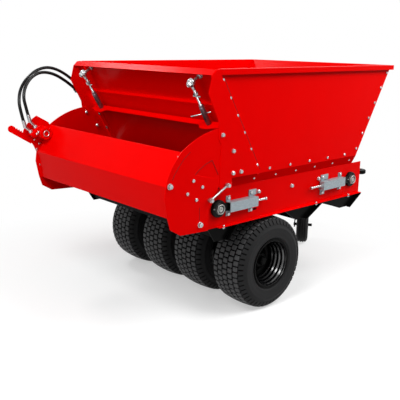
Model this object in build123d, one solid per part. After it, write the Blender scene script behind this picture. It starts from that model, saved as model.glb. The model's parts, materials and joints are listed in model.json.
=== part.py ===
from build123d import *
import math
import os

# Towed top-dressing spreader: hopper, floor conveyor, metering gate and rotary brush on four turf wheels.
# Millimetres. +X is the machine's right, +Y the way it is towed, +Z up. Drawn from the ground up, then
# moved so that the origin is the middle of the tow eye. A point in a side plane is (y, z). CUT is the
# room that a cutting tool takes past an edge.

# Tow eye
EYE_Y, EYE_Z = 1880, 460
EYE_BORE_R, EYE_R, EYE_THICK, EYE_CHAMFER = 20, 50, 30, 5
EYE_FLANGE, EYE_FLANGE_T, EYE_NECK = 40, 12, 22

# Hopper
RIM_X, RIM_Z, RIM_DROP = 591, 1289, 27
WALL_X, SHEET = 571, 3
WALL_FOOT_Z = 766
REAR_TOP_Y, REAR_LEAN = -231, math.radians(30.5)
REAR_RIM_BACK, REAR_RIM_DROP, RIM_STRIP_SHARE = 25, 26, 0.88
RIM_SLOT_S, RIM_SLOT_X, RIM_SLOT_CUT = (28, 70), (535, 549), (-10, 20)
FRONT_TOP_Y, FRONT_LEAN = 1256, math.radians(30.1)
STEP_S, STEP_OUT = 189.5, 25
REAR_FOOT_S = 590
FRONT_FOOT_Z, FRONT_RIM, APRON_GAP = 690, 14, 10

# Side wings and panels
WING_X, WING_T, WING_TOP_Z = 593, 4, RIM_Z - 2
SEAM_TOP, SEAM_FOOT, SEAM_FLANGE = (-201, 1262), (87, 772), 26
PANEL_X, PANEL_T = 545, 4
PANEL_Y, PANEL_Z = (-226, 1049), (522, 716)
PANEL_SLOT_Y, PANEL_SLOT_Z = (88, 122), (566, 578)
LIP, LIP_INSET = 22, 60
SKIRT_Y, SKIRT_T = (-112, 954), 4

# Conveyor
ROLLER_Y, ROLLER_Z, ROLLER_R = (-162, 940), 620, 51
SHAFT_R, SHAFT_END, DRIVE_END, SHAFT_ROOM = 17.5, 590, 600, 8
RUN_FIT, RUN_GAP, CUT = 0.05, 0.3, 50
BELT_T, BELT_HALF, DRUM_HALF = 4, 525, 530
BED_INSET, BED_T, BED_RIB = 75, 3, 40
HOLDER_R, HOLDER_LIP_R, HOLDER_LIP, HOLDER_X = 44, 32, 4, (545, 563)
INSERT_R, INSERT_X = 26.5, 577
TONGUE_X, TONGUE_Z, TONGUE_IN = (549, 563), (603, 641), 18

# Screw take-ups: for each roller, the box's bearing end, its screw end and the screw's tip
TAKE_UPS = ((-105, 95, 165), (850, 645, 555))
BOX_X, BOX_Z, BOX_T, BOX_FOOT_HALF = 581, (597, 647), 4, 14
BOX_NEAR_FOOT, BOX_FAR_FOOT = (14, 26, 16), (24, 32, 20)
ROD_X, ROD_Z, ROD_R, ROD_HOLE_R = 563, 622, 6, 7
ROD_NUT_R, ROD_NUT_T, ROD_TIP_R, ROD_TIP_T = 12, 10, 9, 8

# Brush housing
HOUSE_X, HOUSE_T, HATCH_DEEP = WING_X - WING_T, 5, 1.5
BRUSH_Y, BRUSH_Z = -351, 746
BRUSH_R, BRUSH_CORE_R, BRUSH_HALF, BRUSH_SHAFT_R, SHAFT_HOLE_R = 145, 40, 540, 10, 26
BRISTLE_ROWS, BRISTLE_T, BRISTLE_HALF = 10, 14, 535
COVER_TOP, COVER_FOLD, COVER_FOOT = (-425, 930), (-521, 784), (-497, 632)
COVER_T, COVER_LIP = 2.5, (18, -8)
FLANGE, FLANGE_T, FLANGE_TURN, FLANGE_CORNER = 86, 12, 57, 12
FLANGE_HUB_R, FLANGE_HUB, FLANGE_BOLT_R = 32, 34, 47
LINK_UPPER, LINK_LOWER = (-154, 745), (-264, 688)
LINK_R, LINK_EYE_R, LINK_PIN_R, LINK_NUT = 5, 11, 7, 17
LINK_GAP, LINK_EYE_T, LINK_NUT_T = 4, 14, 8

# Brush drive on the left
MOTOR_Y, MOTOR_Z, MOTOR_R, MOTOR_LONG = -497, 893, 36, 76
MOTOR_FOOT_R, MOTOR_FOOT_T = 39, 12
MOTOR_RING_R, MOTOR_RING_T = (13, 19), 4
MOTOR_PLATE_T, MOTOR_SHAFT_R, MOTOR_SPIGOT_R = 5, 11, 14
MOTOR_BOLTS = ((-533, 855), (-504, 830), (-522, 798))
PORT_X, PORT_OUT, PORT_TURN, PORTS = -550, 50, math.radians(50.3), (48, 10)
PORT_BLOCK, PORT_BLOCK_X = [(10, -10), (PORT_OUT, -10), (PORT_OUT, 66), (26, 66), (10, 30)], (6, 52)
TAIL_TIP, TAIL_DROP, TAIL_LONG, TAIL_R = Vector(-669, 924), math.radians(31.9), 145, 19
NOTCHES, NOTCH_START, NOTCH_PITCH, NOTCH_R = 4, 22, 15, 5
MOTOR_PULLEY_R, BRUSH_PULLEY_R = 40, 50
PULLEY_X, PULLEY_RIM, SHAFT_PROUD = (-624, -604), 3, 8
DRIVE_BELT_OUT, GUARD_OUT, GUARD_X, GUARD_T = 7, (18, 14), -640, 3

# Conveyor motor on the left
DRIVE_MOTOR_R, DRIVE_MOTOR_X = 40, (-690, -592)
DRIVE_FLANGE, DRIVE_FLANGE_T = 45, 10
MANIFOLD_X, MANIFOLD_HALF, MANIFOLD_Z = (-676, -616), 34, (20, 72)

# Hydraulic hoses, from the brush motor's ports to the conveyor motor
HOSE_R, ARC_SHARE = 9, 0.45
FERRULE, FERRULE_R, PORT_NUT, PORT_NUT_R, STEM_R = 38, 11, 14, 12, 7
HOSE_INNER = [(-550, -580, 999), (-551, -591, 1046), (-560, -597, 1094), (-580, -576, 1146),
              (-600, -532, 1194), (-612, -476, 1223), (-620, -418, 1226), (-622, -358, 1210),
              (-620, -300, 1176), (-616, -256, 1143), (-619, -206, 1100), (-628, -164, 1030),
              (-639, -142, 940), (-645, -136, 850), (-647, -140, 770), (-647, -140, 692)]
HOSE_OUTER = [(-550, -610, 969), (-552, -621, 1018), (-566, -623, 1072), (-598, -596, 1134),
              (-632, -542, 1186), (-656, -476, 1228), (-670, -414, 1248), (-676, -358, 1249),
              (-677, -297, 1229), (-676, -232, 1185), (-674, -190, 1120), (-668, -174, 1030),
              (-660, -174, 930), (-652, -180, 842), (-647, -184, 762), (-647, -184, 692)]
CLIP_RUN, CLIP_LONG, CLIP_R = 9, 12, 13
CLIP_ARM_HALF, CLIP_ARM_Z = 6, (-18, -4)

# Metering gate and its screw adjusters
GATE_OFF, GATE_T, GATE_HALF = 44, 4, 536
LEDGE_S, GATE_FOOT_S = 270, 678
LEDGE_EDGE = [(399, 80), (431, 105), (480, 105), (545, 83), (545, GATE_OFF)]
GUIDE_S, GUIDE_X, GUIDE_T, GUIDE_GAP = (300, 560), (522, 537, 562), 4, 0.5
GUIDE_BOLT_S, GUIDE_BOLT_X, GUIDE_BOLT_R, GUIDE_BOLT_HIGH = (330, 430, 530), 550, 8, 6
SCREW_X, SCREW_OFF, SCREW_R = 463, 67, 7
STUD_S, STUD_R, STUD_OUT = 38, 8, 92
STUD_NUT, STUD_NUT_T, STUD_WASHER_R = 24, 9, 16
EYE_END_R, EYE_END_OFF, EYE_NECK_IN = 21, (56, 78), 4
STOP_NUT_S, STOP_NUT_R, STOP_NUT_HIGH = 92, 13, 11
STOP_BAR_S, STOP_BAR_R, STOP_BAR_HALF = 112, 4, 24
SLEEVE_S, SLEEVE_R, SLEEVE_NECK_R = (160, 283), 13.5, 9
SLEEVE_WASHER_R, SLEEVE_WASHER_T, SLEEVE_HOLD = 13, 6, 70
TOMMY_S, TOMMY_TURN, TOMMY_LONG, TOMMY_SHORT, TOMMY_R = 208, math.radians(32), 70, 34, 3.5

# Frame and bogies
MEMBER_Y, MEMBER_Z, MEMBER_W, MEMBER_T = (-140, 487, 899), (452, 518), 70, 4
REAR_MEMBER_FOOT_Z = 470
GUSSET_REAR, GUSSET_FRONT = (-222, 345, 655), (-40, 655, 1045)
GUSSET_T, GUSSET_FLANGE, GUSSET_FLANGE_T, GUSSET_DROP = 6, 24, 4, 2
RAIL_X, RAIL_W, RAIL_Z = 310.5, 50, (458, 518)
AXLE_Y, AXLE_Z = 221.5, 254
PIVOT_Z, PIVOT_R, PIVOT_HALF = 305, 15, 92
CHEEK_Y, CHEEK_T, CHEEK_FOOT_Z = 68, 12, 266
PIVOT_TUBE_R, PIVOT_TUBE_HALF = 29, 67
BEAM_HALF, BEAM_W, BEAM_UP, BEAM_DOWN = 92, 22, 24, 22
WHEEL_OFF, STUB_R, STUB_LONG = 163, 15, 52
TYRE_R, TYRE_HALF, RIM_R = 254, 114, 127
STUDS, STUD_CIRCLE_R, STUD_HOLE_R = 5, 60, 7

# Drawbar and jockey wheel
DRAW_X, DRAW_Y, DRAW_Z, DRAW_WALL, DRAW_CAP = 40, (470, 1800), (392, 452), 5, 8
HEAD_X, HEAD_T, HEAD_Z = 45, 12, (384, 512)
JOCKEY_X, JOCKEY_Y = -90, 1335
JOCKEY_R, JOCKEY_HALF, JOCKEY_TRAIL = 130, 41, 55
JOCKEY_TURN = math.radians(36.9)
JOCKEY_SLEEVE_Z, JOCKEY_POST_R, JOCKEY_SLEEVE_T = (340, 520), 24, 6
JOCKEY_CLAMP_HALF, JOCKEY_CLAMP_Z = 30, (400, 444)
JOCKEY_COLLAR, JOCKEY_CAP, JOCKEY_CAP_R, JOCKEY_PROUD = 12, 8, 31, 22
JOCKEY_ARM_Z, JOCKEY_ARM_T, JOCKEY_ARM_Y, JOCKEY_CHEEK_T = 284, 12, (-34, 30), 8
JOCKEY_FOOT_HALF, JOCKEY_FOOT_Z, JOCKEY_SIDE_GAP = 18, 112, 12
JOCKEY_AXLE_R, JOCKEY_AXLE_PROUD = 10, 26

# Bolt heads: width across the flats and height
SMALL_BOLT, PLATE_BOLT, WING_BOLT, TILT_BOLT, PANEL_BOLT = (13, 6), (15, 7), (19, 8), (22, 10), (19, 10)
WING_BOLTS = [(-184, 988), (-110, 905), (-109, 797), (-54, 798)]
TILT_BOLTS, TILT_WASHER_R, TILT_WASHER_T = [(-499, 784), (-315, 575)], 15, 3
PANEL_BOLT_AT, LIP_BOLT_YS, LIP_BOLT_OUT = (398, 655), (-128, 612, 925), 12
RIVETS, RIVET_START, RIVET_PITCH, RIVET_R, RIVET_HIGH = 7, -85, 165, 5.5, 4


def on_wall(s, off):
    """Point (y, z) at distance s down the rear wall and off outwards from it."""
    y = REAR_TOP_Y + s * math.sin(REAR_LEAN) - off * math.cos(REAR_LEAN)
    z = RIM_Z - s * math.cos(REAR_LEAN) - off * math.sin(REAR_LEAN)
    return (y, z)


def wall_plane(s):
    """Plane across the rear wall: local x is the machine's, local y is off the wall, local z down it."""
    down = (0, math.sin(REAR_LEAN), -math.cos(REAR_LEAN))
    return Plane(origin=(0, *on_wall(s, 0)), x_dir=(1, 0, 0), z_dir=down)


def front_y(z):
    return FRONT_TOP_Y - (RIM_Z - z) * math.tan(FRONT_LEAN)


def plate(points, x0, x1):
    """Flat plate with a (y, z) outline between two x planes."""
    return plate_of(make_face(Polyline(*points, close=True)), x0, x1)


def plate_of(face, x0, x1):
    """Flat plate from a face drawn in (y, z)."""
    return extrude(Plane.YZ.offset(min(x0, x1)) * face, abs(x1 - x0))


def bar_x(points, y0, y1):
    """Bar with an (x, z) outline between two y planes."""
    outline = make_face(Polyline(*points, close=True))
    return extrude(Plane.XZ.offset(-y1) * outline, y1 - y0)


def block(x, y, z):
    """Box between two places on each axis."""
    middle = Pos((x[0] + x[1]) / 2, (y[0] + y[1]) / 2, (z[0] + z[1]) / 2)
    return middle * Box(abs(x[1] - x[0]), abs(y[1] - y[0]), abs(z[1] - z[0]))


def around(middle, half):
    return (middle - half, middle + half)


def rod(start, end, radius):
    start, end = Vector(start), Vector(end)
    return Solid.make_cylinder(radius, (end - start).length, Plane(origin=start, z_dir=end - start))


def disc_x(y, z, radius, x0, x1):
    return rod((min(x0, x1), y, z), (max(x0, x1), y, z), radius)


def hex_x(y, z, across, x0, x1):
    head = RegularPolygon(across / math.sqrt(3), 6)
    return extrude(Plane.YZ.offset(min(x0, x1)) * Pos(y, z) * head, abs(x1 - x0))


def folded(path, thick):
    """Closed outline of a folded sheet whose material lies to the right of the path."""
    dirs = []
    for (y0, z0), (y1, z1) in zip(path, path[1:]):
        length = math.hypot(y1 - y0, z1 - z0)
        dirs.append(((y1 - y0) / length, (z1 - z0) / length))
    back = []
    for i, (y, z) in enumerate(path):
        a, b = dirs[max(i - 1, 0)], dirs[min(i, len(dirs) - 1)]
        ny, nz = a[1] + b[1], -a[0] - b[0]
        k = 2 * thick / (ny * ny + nz * nz)
        back.append((y + ny * k, z + nz * k))
    return path + back[::-1]


def spun(points):
    """Solid of revolution about the x axis from (x, radius) points."""
    return revolve(make_face(Polyline(*points, close=True)), Axis.X)


def spaced(start, end, count):
    """Row of evenly spaced points from start to end."""
    return [tuple(a + (b - a) * k / (count - 1) for a, b in zip(start, end)) for k in range(count)]


def left(shape):
    return mirror(shape, about=Plane.YZ)


def pair(shape):
    return [shape, left(shape)]


def group(shapes):
    solids = []
    for shape in shapes:
        solids += shape.solids()
    return Compound(children=solids)


# Hopper

def side_wall():
    """Side sheet with its top folded outwards and down into a rim."""
    foot, top = WALL_FOOT_Z, RIM_Z - SHEET
    lean = math.tan(REAR_LEAN)
    rear_top = REAR_TOP_Y + (RIM_Z - top) * lean
    rear_foot = REAR_TOP_Y + (RIM_Z - foot) * lean
    wall = plate([(rear_foot, foot), (front_y(foot), foot), (front_y(top), top), (rear_top, top)],
                 WALL_X - SHEET, WALL_X)
    rim_y = (SEAM_TOP[0] + 1, front_y(RIM_Z))
    rim = block((WALL_X - SHEET, RIM_X), rim_y, (top, RIM_Z))
    return wall + rim + block((RIM_X - SHEET, RIM_X), rim_y, (RIM_Z - RIM_DROP, top))


def rear_wall():
    """Rear sheet, stepped out below its rim, with a slot beside each screw."""
    rim_top = Vector(REAR_TOP_Y, RIM_Z)
    rim_edge = rim_top - Vector(REAR_RIM_BACK, REAR_RIM_DROP)
    strip_top = rim_edge + (rim_top - rim_edge) * RIM_STRIP_SHARE
    under = STEP_OUT - SHEET
    panel = [(rim_edge.X, rim_edge.Y), (rim_top.X, rim_top.Y), on_wall(STEP_S, 0), on_wall(STEP_S, under),
             on_wall(REAR_FOOT_S, under)]
    half = WALL_X - SHEET
    wall = plate(folded(panel, SHEET), -half, half)
    strip = folded([(rim_edge.X, rim_edge.Y), (strip_top.X, strip_top.Y)], SHEET)
    wall += plate(strip, -HOUSE_X, HOUSE_X)
    (top, foot), (inner, outer) = RIM_SLOT_S, RIM_SLOT_CUT
    corners = [on_wall(top, inner), on_wall(foot, inner), on_wall(foot, outer), on_wall(top, outer)]
    for slot in pair(plate(corners, *RIM_SLOT_X)):
        wall -= slot
    return wall


def front_wall():
    """Front sheet folded outwards into the rim, with a narrower apron down to the belt."""
    half, foot, lap = WALL_X - SHEET, WALL_FOOT_Z, WALL_FOOT_Z + LIP
    under, edge = RIM_Z - SHEET, front_y(RIM_Z) + FRONT_RIM - SHEET
    sheet = [(front_y(foot), foot), (front_y(under), under), (edge, under), (edge, RIM_Z - RIM_DROP)]
    wall = plate(folded(sheet, -SHEET), -half, half)
    apron = folded([(front_y(FRONT_FOOT_Z), FRONT_FOOT_Z), (front_y(lap), lap)], -SHEET)
    return wall + plate(apron, -PANEL_X + APRON_GAP, PANEL_X - APRON_GAP)


def wing():
    """Side wing outside the hopper wall, stepped in to it along the seam."""
    rear = [(-226, WING_TOP_Z), (-256, 1263), (-278, 1180), (-212, 1055), (-208, 1022), (-206, 967)]
    foot = [(-190, 941), (-194, 888), (-195, 735), (-180, 712), (-111, 712), (-115, 774)]
    outline = rear + foot + [SEAM_FOOT, SEAM_TOP, (SEAM_TOP[0], WING_TOP_Z)]
    skin = plate(outline, WING_X - WING_T, WING_X)
    joggle = plate(folded([SEAM_FOOT, SEAM_TOP], -WING_T), WALL_X, WING_X - WING_T)
    foot_edge = [(y + SEAM_FLANGE, z) for y, z in (SEAM_FOOT, SEAM_TOP)]
    flange = plate(folded(foot_edge, -SEAM_FLANGE - WING_T), WALL_X, WALL_X + SHEET)
    return skin + joggle + flange


def skirt_strip():
    """Sloping strip from the foot of the side wall in to the panel."""
    upper, lower = (WALL_X, WALL_FOOT_Z), (PANEL_X, PANEL_Z[1])
    inner = [(x - SKIRT_T, z) for x, z in (upper, lower)]
    return bar_x([upper, *inner, lower], *SKIRT_Y)


# Conveyor

def side_panel():
    y0, y1 = PANEL_Y
    z0, z1 = PANEL_Z
    panel = block((PANEL_X - PANEL_T, PANEL_X), (y0, y1), (z0, z1))
    panel += block((PANEL_X, PANEL_X + LIP), (y0 + LIP_INSET, y1), (z0, z0 + PANEL_T))
    through = around(PANEL_X, CUT)
    for y in ROLLER_Y:
        panel -= disc_x(y, ROLLER_Z, SHAFT_R + SHAFT_ROOM, *through)
    return panel - block(through, PANEL_SLOT_Y, PANEL_SLOT_Z)


def roller(y, left_end=SHAFT_END):
    drum = disc_x(y, ROLLER_Z, ROLLER_R, -DRUM_HALF, DRUM_HALF)
    return drum + disc_x(y, ROLLER_Z, SHAFT_R, -left_end, SHAFT_END)


def belt_loop(radius):
    rear, front = ROLLER_Y
    straight = Pos((rear + front) / 2, ROLLER_Z) * Rectangle(front - rear, 2 * radius)
    return straight + Pos(rear, ROLLER_Z) * Circle(radius) + Pos(front, ROLLER_Z) * Circle(radius)


def conveyor_belt():
    inner = ROLLER_R + RUN_GAP
    loop = belt_loop(inner + BELT_T) - belt_loop(inner)
    return extrude(Plane.YZ.offset(-BELT_HALF) * loop, 2 * BELT_HALF)


def belt_bed():
    """Sheet under the belt's upper run, on three ribs."""
    top = ROLLER_Z + ROLLER_R + RUN_GAP
    wide = around(0, PANEL_X - PANEL_T)
    y0, y1 = ROLLER_Y[0] + BED_INSET, ROLLER_Y[1] - BED_INSET
    bed = block(wide, (y0, y1), (top - BED_T, top))
    for y in (y0 + BED_T / 2, (y0 + y1) / 2, y1 - BED_T / 2):
        bed += block(wide, around(y, BED_T / 2), (top - BED_RIB, top - BED_T))
    return bed


def towards(near, far):
    return 1 if far > near else -1


def bearing_holder(y, near):
    """Flanged bearing with a tongue that slides in its take-up box."""
    face = HOLDER_X[1]
    holder = disc_x(y, ROLLER_Z, HOLDER_R, *HOLDER_X)
    holder += block(TONGUE_X, (y, near + towards(y, near) * TONGUE_IN), TONGUE_Z)
    holder -= disc_x(y, ROLLER_Z, HOLDER_LIP_R, face - HOLDER_LIP, face)
    holder += disc_x(y, ROLLER_Z, INSERT_R, face - HOLDER_LIP, INSERT_X)
    return holder - disc_x(y, ROLLER_Z, SHAFT_R + RUN_FIT, HOLDER_X[0] - 1, INSERT_X + 1)


def box_feet(near, far):
    """Middle, reach and bolt distance of the take-up box's feet."""
    sign = towards(near, far)
    (near_in, near_reach, near_bolt), (far_in, far_reach, far_bolt) = BOX_NEAR_FOOT, BOX_FAR_FOOT
    return (near + sign * near_in, near_reach, near_bolt), (far - sign * far_in, far_reach, far_bolt)


def take_up_box(near, far):
    """Channel over the take-up screw, with four bolted feet."""
    z0, z1 = BOX_Z
    inside_x, inside_z = (PANEL_X, BOX_X - BOX_T), (z0 + BOX_T, z1 - BOX_T)
    box = block((PANEL_X, BOX_X), (near, far), BOX_Z)
    box -= block(inside_x, (near - towards(near, far), far + towards(near, far)), inside_z)
    for y, reach, _ in box_feet(near, far):
        box += block((PANEL_X, PANEL_X + BOX_T), around(y, BOX_FOOT_HALF), (z1, z1 + reach))
        box += block((PANEL_X, PANEL_X + BOX_T), around(y, BOX_FOOT_HALF), (z0 - reach, z0))
    box += block((PANEL_X + BOX_T + 1, BOX_X - BOX_T), (far - towards(near, far) * BOX_T, far), inside_z)
    return box - rod((ROD_X, far - 2 * BOX_T, ROD_Z), (ROD_X, far + 2 * BOX_T, ROD_Z), ROD_HOLE_R)


def tension_rod(near, far, tip):
    """Take-up screw from the bearing's tongue out through the box, with its nut and tip."""
    sign = towards(near, far)
    screw = rod((ROD_X, near + sign * TONGUE_IN, ROD_Z), (ROD_X, tip, ROD_Z), ROD_R)
    nut = Plane(origin=(ROD_X, far, ROD_Z), z_dir=(0, sign, 0)) * RegularPolygon(ROD_NUT_R, 6)
    end = rod((ROD_X, tip, ROD_Z), (ROD_X, tip + sign * ROD_TIP_T, ROD_Z), ROD_TIP_R)
    return screw + extrude(nut, ROD_NUT_T) + end


# Brush housing

def housing_plate():
    """Round-backed end plate of the brush housing, with a shallow pressed hatch."""
    top, crown, shoulder, rear = (-211, 1018), (-322, 990), (-428, 933), (-490, 859)
    rim = ThreePointArc(top, crown, shoulder) + ThreePointArc(shoulder, rear, COVER_FOLD)
    rest = Polyline(COVER_FOLD, (-529, 729), (-512, 639), (-494, 581), (-435, 545), (-264, 536), (-262, 640),
                    (-196, 742), (-140, 745), (-100, 800), (-100, 915), (-180, 1018), top)
    skin = plate_of(make_face(rim + rest), HOUSE_X - HOUSE_T, HOUSE_X)
    hatch = ThreePointArc((-350, 818), (-289, 859), (-245, 874))
    hatch += Polyline((-245, 874), (-204, 801), (-230, 785), (-350, 818))
    return skin - plate_of(make_face(hatch), HOUSE_X - HATCH_DEEP, HOUSE_X)


def drive_plate():
    """Left housing plate, holed for the brush shaft."""
    return left(housing_plate() - disc_x(BRUSH_Y, BRUSH_Z, SHAFT_HOLE_R, HOUSE_X - HOUSE_T, HOUSE_X))


def rear_cover():
    """Folded cover behind the brush, cut away for the motor's bracket."""
    half = HOUSE_X - HOUSE_T
    lip = (COVER_TOP[0] + COVER_LIP[0], COVER_TOP[1] + COVER_LIP[1])
    return plate(folded([COVER_FOOT, COVER_FOLD, COVER_TOP, lip], COVER_T), -half, half) - motor_plate()


def brush_shaft():
    shaft = disc_x(BRUSH_Y, BRUSH_Z, BRUSH_SHAFT_R, PULLEY_X[0] - SHAFT_PROUD, HOUSE_X - HOUSE_T - 1)
    return shaft + disc_x(BRUSH_Y, BRUSH_Z, BRUSH_CORE_R, -BRUSH_HALF, BRUSH_HALF)


def brush_bristles():
    """Rows of bristle strip along the core."""
    middle, high = (BRUSH_R + BRUSH_CORE_R) / 2, BRUSH_R - BRUSH_CORE_R + CUT
    strip = Pos(0, 0, middle) * Box(2 * BRISTLE_HALF, BRISTLE_T, high)
    strip -= Rot(0, 90, 0) * Cylinder(BRUSH_CORE_R, 2 * BRUSH_HALF)
    strip &= Rot(0, 90, 0) * Cylinder(BRUSH_R, 2 * BRUSH_HALF)
    turns = [Rot(360 / BRISTLE_ROWS * k, 0, 0) for k in range(BRISTLE_ROWS)]
    return group([Pos(0, BRUSH_Y, BRUSH_Z) * turn * strip for turn in turns])


def brush_bearing():
    """Square flanged bearing on the inside of the housing plate."""
    x1 = HOUSE_X - HOUSE_T
    outline = Rot(0, 0, FLANGE_TURN) * RectangleRounded(FLANGE, FLANGE, FLANGE_CORNER)
    bearing = plate_of(Pos(BRUSH_Y, BRUSH_Z) * outline, x1 - FLANGE_T, x1)
    bearing += disc_x(BRUSH_Y, BRUSH_Z, FLANGE_HUB_R, x1 - FLANGE_HUB, x1 - FLANGE_T)
    return bearing - disc_x(BRUSH_Y, BRUSH_Z, BRUSH_SHAFT_R + RUN_FIT, x1 - FLANGE_HUB - 1, x1 + 1)


def flange_bolts():
    """Places of the four bolts of the brush bearing."""
    turns = [math.radians(FLANGE_TURN + 45 + 90 * k) for k in range(4)]
    return [(BRUSH_Y + FLANGE_BOLT_R * math.cos(a), BRUSH_Z + FLANGE_BOLT_R * math.sin(a)) for a in turns]


def link_rod():
    """Link that holds the brush housing's tilt, pinned to the wing and to the housing plate."""
    inner = WING_X + LINK_GAP
    outer = inner + LINK_EYE_T
    middle = (inner + outer) / 2
    link = rod((middle, *LINK_UPPER), (middle, *LINK_LOWER), LINK_R)
    for end, face in ((LINK_UPPER, WING_X), (LINK_LOWER, HOUSE_X)):
        link += disc_x(*end, LINK_EYE_R, inner, outer)
        link += disc_x(*end, LINK_PIN_R, face, inner)
        link += hex_x(*end, LINK_NUT, outer, outer + LINK_NUT_T)
    return link


# Brush drive on the left

def motor_plate():
    """Motor bracket inside the left housing plate, with a notched tail for setting the belt."""
    x0 = -HOUSE_X + HOUSE_T
    base = [(-440, 946), (-513, 988), (-556, 962), (-590, 925), (-600, 903), (-541, 822), (-525, 786),
            (-470, 800), (-420, 900)]
    along = Vector(math.cos(TAIL_DROP), -math.sin(TAIL_DROP))
    across = Vector(math.sin(TAIL_DROP), math.cos(TAIL_DROP)) * TAIL_R
    root = TAIL_TIP + along * TAIL_LONG
    corners = [TAIL_TIP + across, root + across, root - across, TAIL_TIP - across]
    tail = make_face(Polyline(*corners, close=True)) + Pos(TAIL_TIP.X, TAIL_TIP.Y) * Circle(TAIL_R)
    for k in range(NOTCHES):
        notch = TAIL_TIP + along * (NOTCH_START + NOTCH_PITCH * k) + across
        tail -= Pos(notch.X, notch.Y) * Circle(NOTCH_R)
    bracket = plate_of(make_face(Polyline(*base, close=True)) + tail, x0, x0 + MOTOR_PLATE_T)
    return bracket - disc_x(MOTOR_Y, MOTOR_Z, MOTOR_SPIGOT_R, x0 - 1, motor_x() + 1)


def motor_x():
    """Mounting face of the brush motor."""
    return -HOUSE_X + HOUSE_T + MOTOR_PLATE_T


def on_port(out, along):
    """Point (y, z) on the motor's port block: out from the shaft, then along the row of ports."""
    y = MOTOR_Y - out * math.cos(PORT_TURN) - along * math.sin(PORT_TURN)
    z = MOTOR_Z + out * math.sin(PORT_TURN) - along * math.cos(PORT_TURN)
    return (y, z)


def brush_motor():
    """Gear motor with a port block on its side and a ring on its end."""
    x0 = motor_x()
    end = x0 + MOTOR_LONG
    body = disc_x(MOTOR_Y, MOTOR_Z, MOTOR_R, x0, end)
    body += disc_x(MOTOR_Y, MOTOR_Z, MOTOR_FOOT_R, x0, x0 + MOTOR_FOOT_T)
    bore, ring = (disc_x(MOTOR_Y, MOTOR_Z, radius, end, end + MOTOR_RING_T) for radius in MOTOR_RING_R)
    ports = plate([on_port(*corner) for corner in PORT_BLOCK], *(x0 + x for x in PORT_BLOCK_X))
    return body + ports + (ring - bore)


def hose_fitting(along, points):
    """Port nut, bend and crimped ferrule in line with the hose's first run."""
    start = Vector(*points[0])
    rise = (Vector(*points[1]) - start).normalized()
    nut_end = (PORT_X, *on_port(PORT_OUT + PORT_NUT, along))
    crimp = start - rise * FERRULE
    nut = rod((PORT_X, *on_port(PORT_OUT, along)), nut_end, PORT_NUT_R)
    bend = rod(nut_end, crimp + rise * 2, STEM_R) + Pos(*nut_end) * Sphere(STEM_R)
    return nut + bend + rod(crimp, start, FERRULE_R)


def hose_fittings():
    return group([hose_fitting(PORTS[0], HOSE_OUTER), hose_fitting(PORTS[1], HOSE_INNER)])


def hose_clip():
    """Rubber clamp on the left wing round a straight run of the inner hose."""
    a, b = Vector(*HOSE_INNER[CLIP_RUN]), Vector(*HOSE_INNER[CLIP_RUN + 1])
    mid, along = (a + b) / 2, (b - a).normalized()
    reach, through = along * CLIP_LONG / 2, along * 2 * CLIP_LONG
    low, high = (mid.Z + z for z in CLIP_ARM_Z)
    arm = block((mid.X, -WING_X), around(mid.Y, CLIP_ARM_HALF), (low, high))
    band = rod(mid - reach, mid + reach, CLIP_R)
    return band + arm - rod(mid - through, mid + through, HOSE_R + 2 * RUN_GAP)


def hose(points):
    """Tube along straight runs joined by the largest arcs that the runs leave room for."""
    points = [Vector(*p) for p in points]
    radii = []
    for a, b, c in zip(points, points[1:], points[2:]):
        turn = math.radians((b - a).get_angle(c - b))
        radii.append(ARC_SHARE * min((b - a).length, (c - b).length) / math.tan(turn / 2))
    path = FilletPolyline(*points, radius=radii)
    print("hose length", round(path.length), "bend radii", [round(r) for r in radii])
    return sweep(Plane(origin=path @ 0, z_dir=path % 0) * Circle(HOSE_R), path=path)


def brush_pulley():
    wheel = disc_x(BRUSH_Y, BRUSH_Z, BRUSH_PULLEY_R, *PULLEY_X)
    return wheel - disc_x(BRUSH_Y, BRUSH_Z, BRUSH_SHAFT_R, PULLEY_X[0] - 1, PULLEY_X[1] + 1)


def motor_pulley():
    shaft = disc_x(MOTOR_Y, MOTOR_Z, MOTOR_SHAFT_R, PULLEY_X[1], motor_x() - RUN_GAP)
    return disc_x(MOTOR_Y, MOTOR_Z, MOTOR_PULLEY_R, *PULLEY_X) + shaft


def tangent_outline(r0, r1):
    """Outline of a band round the motor and brush pulleys."""
    dy, dz = BRUSH_Y - MOTOR_Y, BRUSH_Z - MOTOR_Z
    dist = math.hypot(dy, dz)
    base, swing = math.atan2(dz, dy), math.acos((r0 - r1) / dist)
    points = []
    for angle in (base + swing, base - swing):
        points.append((MOTOR_Y + r0 * math.cos(angle), MOTOR_Z + r0 * math.sin(angle)))
        points.append((BRUSH_Y + r1 * math.cos(angle), BRUSH_Z + r1 * math.sin(angle)))
    quad = make_face(Polyline(points[0], points[1], points[3], points[2], close=True))
    return quad + Pos(MOTOR_Y, MOTOR_Z) * Circle(r0) + Pos(BRUSH_Y, BRUSH_Z) * Circle(r1)


def drive_belt():
    inner = tangent_outline(MOTOR_PULLEY_R + RUN_GAP, BRUSH_PULLEY_R + RUN_GAP)
    outer = tangent_outline(MOTOR_PULLEY_R + DRIVE_BELT_OUT, BRUSH_PULLEY_R + DRIVE_BELT_OUT)
    return plate_of(outer - inner, PULLEY_X[0] + PULLEY_RIM, PULLEY_X[1] - PULLEY_RIM)


def drive_guard():
    """Open-backed cover over the brush's belt drive."""
    r0, r1 = MOTOR_PULLEY_R + GUARD_OUT[0], BRUSH_PULLEY_R + GUARD_OUT[1]
    case = plate_of(tangent_outline(r0, r1), GUARD_X, -HOUSE_X)
    hollow = tangent_outline(r0 - GUARD_T, r1 - GUARD_T)
    return case - plate_of(hollow, GUARD_X + GUARD_T, -HOUSE_X + GUARD_T)


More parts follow.
